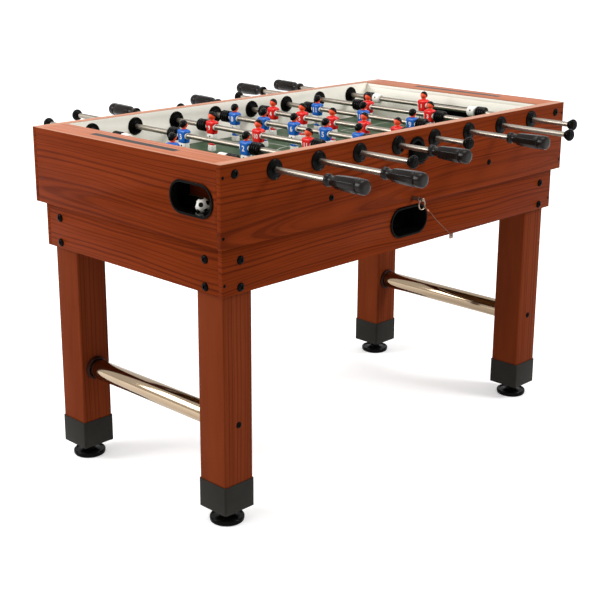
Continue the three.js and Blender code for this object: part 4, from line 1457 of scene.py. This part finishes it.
# kind, distance from the middle, face it sits on, and heights
sideBolts = (
    ("bolt", 0.5695, sideOuter, (0.793,)), ("bolt", 0.541, apronHigh.y, (0.607, 0.549)),
    ("screw", 0.6015, sideOuter, (0.789, 0.665)), ("screw", 0.5853, apronHigh.y, (0.560,)),
    ("legBolt", 0.286, sideOuter, (0.700,)),
    ("legBolt", 0.5383, boxOf("leg_far_left")[1].y, (0.2375,)),
)
endBolts = (("bolt", 0.253, -endApronLow.x, (0.608, 0.549)),)
boltFaces = (
    (math.pi, 1, sideBolts), (0, -1, sideBolts), (math.pi / 2, -1, endBolts), (-math.pi / 2, 1, endBolts))


def makeBolts():
    # placed as on the far side, then turned to each side in turn
    models = {"bolt": modelBolt(1.0), "screw": modelBolt(0.36), "legBolt": modelBolt(0.74)}
    count = 0
    for angle, first, rows in boltFaces:
        for kind, aside, out, heights in rows:
            for x in (first * aside, -first * aside):
                for z in heights:
                    count += 1
                    move = Matrix.Rotation(angle, 4, "Z") @ shift(x, out, z)
                    finishPiece(
                        copyShape(models[kind], move), f"{kind}{count}", "shell", "black_bolt", smooth=40)
    discard(*models.values())


makeBolts()
print("bolts are in")

# lock pin and pull ring
lock = {
    "x": -0.008, "z": 0.656, "radius": 0.0045, "outer": -0.3547, "inner": -0.2797, "eye": -0.3497,
    "eyeRadius": 0.0032, "ring": 0.0113, "wire": 0.0008, "coil": 0.0018, "ringDrop": 0.0118,
}


def makePin():
    radius, outer, inner, hole = (lock[key] for key in ("radius", "outer", "inner", "eyeRadius"))
    pin = addTurned((
        (0, outer), (radius - 0.0012, outer), (radius, outer + 0.0012), (radius, outer + 0.0105),
        (radius - 0.0006, outer + 0.011), (radius - 0.0006, outer + 0.0120), (radius, outer + 0.0125),
        (radius, inner - 0.003), (radius - 0.002, inner), (0, inner)), "Y", 32,
        (lock["x"], 0, lock["z"]), soften=0.0003)
    cutAway(pin, addTurned(((0, -0.006), (hole, -0.006), (hole, 0.006), (0, 0.006)), "X", 20,
                           (lock["x"], lock["eye"], lock["z"])))
    finishPiece(pin, "lockPin", "pin", "bright_steel", ("lock_pin",), "lock")


def makePullRing(centre):
    # split ring: two turns of wire
    ring = begin(
        bpy.ops.mesh.primitive_circle_add, vertices=14, radius=lock["wire"], fill_type="NGON")
    nudge((lock["ring"], 0, 0))
    bpy.ops.transform.rotate(value=math.pi / 2, orient_axis="X", center_override=(lock["ring"], 0, 0))
    leave()
    useModifier(ring, "SCREW", angle=math.tau, iterations=2, screw_offset=lock["coil"], steps=40,
                render_steps=40, axis="Z", use_merge_vertices=False)
    editPiece(ring)
    tidyMesh()
    ring.data.transform(
        shift(*centre) @ Matrix.Rotation(math.pi / 2, 4, "X")
        @ Matrix.Rotation(math.radians(-30), 4, "Z") @ shift(z=-lock["coil"]))
    finishPiece(ring, "pullRing", "steel", "bright_steel", ("pull_ring",), "lock", 50)


def makeLanyardEnd(centre):
    # loop of wire through the ring, and the crimp that closes it
    along = Vector((0.782, -0.07, -0.62)).normalized()
    half = ((0.0245, 0.0004), (0.0166, 0.0022), (0.0115, 0.0032), (0.0092, 0.0016))
    bend = half + ((0.0088, 0),) + tuple((far, -out) for far, out in reversed(half))
    loop = addTube([centre + along * far + axes["Y"] * out for far, out in bend], 0.00075, "lanyardLoop")
    finishPiece(loop, "lanyardLoop", "wire", "wire_rope", body="lock", smooth=50)
    crimp = addTurned((
        (0, 0), (0.0015, 0), (0.0020, 0.0006), (0.0020, 0.0026), (0.0016, 0.0032), (0.0016, 0.0038),
        (0.0020, 0.0044), (0.0020, 0.0064), (0.0015, 0.0070), (0, 0.0070)), "Z", 20)
    crimp.data.transform(
        shift(*(centre + along * 0.0225)) @ along.to_track_quat("Z", "Y").to_matrix().to_4x4())
    finishPiece(crimp, "lanyardCrimp", "copper", "bright_steel", body="lock", smooth=50)


ringCentre = Vector((lock["x"], lock["eye"], lock["z"] - lock["ringDrop"]))
makePin()
makePullRing(ringCentre)
makeLanyardEnd(ringCentre)
print("lock pin is in")


# floor and backdrop
def maskRays(tree, *kinds):
    # one where a ray is of any of these kinds
    rays = addNode(tree, "ShaderNodeLightPath")
    first, *others = (rays.outputs[f"Is {kind} Ray"] for kind in kinds)
    for other in others:
        first = calculate(tree, "MAXIMUM", first, other)
    return first


def makeFloor():
    startFresh()
    bpy.ops.mesh.primitive_plane_add(size=studio["floorSize"])
    floor = bpy.context.object
    floor.name = floor.data.name = "studioFloor"
    material, tree, shader, place = newMaterial("studioFloor")
    speck = addNode(tree, "ShaderNodeTexNoise", {"Vector": place, "Scale": 3.0})
    reach = addNode(tree, "ShaderNodeVectorMath", {0: place}, operation="LENGTH")
    glow = addNode(tree, "ShaderNodeMapRange", {
        "Value": reach.outputs["Value"], "From Min": 0.9, "From Max": 4.0, "To Min": 0.34, "To Max": 0.75},
        interpolation_type="SMOOTHSTEP")
    feed(tree, shader, {
        "Base Color": blendTones(tree, speck.outputs["Fac"], tone(250, 250, 250), tone(252, 252, 252)),
        "Roughness": 0.9, "Specular IOR Level": 0.1, "Emission Color": (1, 1, 1, 1),
        "Emission Strength": calculate(
            tree, "MULTIPLY", maskRays(tree, "Camera", "Glossy"), glow.outputs[0])})
    floor.data.materials.append(material)


def makeSky():
    world = bpy.data.worlds.new("studioSky")
    bpy.context.scene.world = world
    world.use_nodes = True
    tree = world.node_tree
    tree.nodes.clear()
    strength = addNode(tree, "ShaderNodeMapRange", {
        "Value": maskRays(tree, "Camera", "Glossy", "Transmission"), "To Min": studio["skyStrength"],
        "To Max": 1.0})
    sky = addNode(tree, "ShaderNodeBackground", {"Color": (1, 1, 1, 1), "Strength": strength.outputs[0]})
    addNode(tree, "ShaderNodeOutputWorld", {"Surface": sky.outputs[0]})


makeFloor()
makeSky()
print("studio is ready")
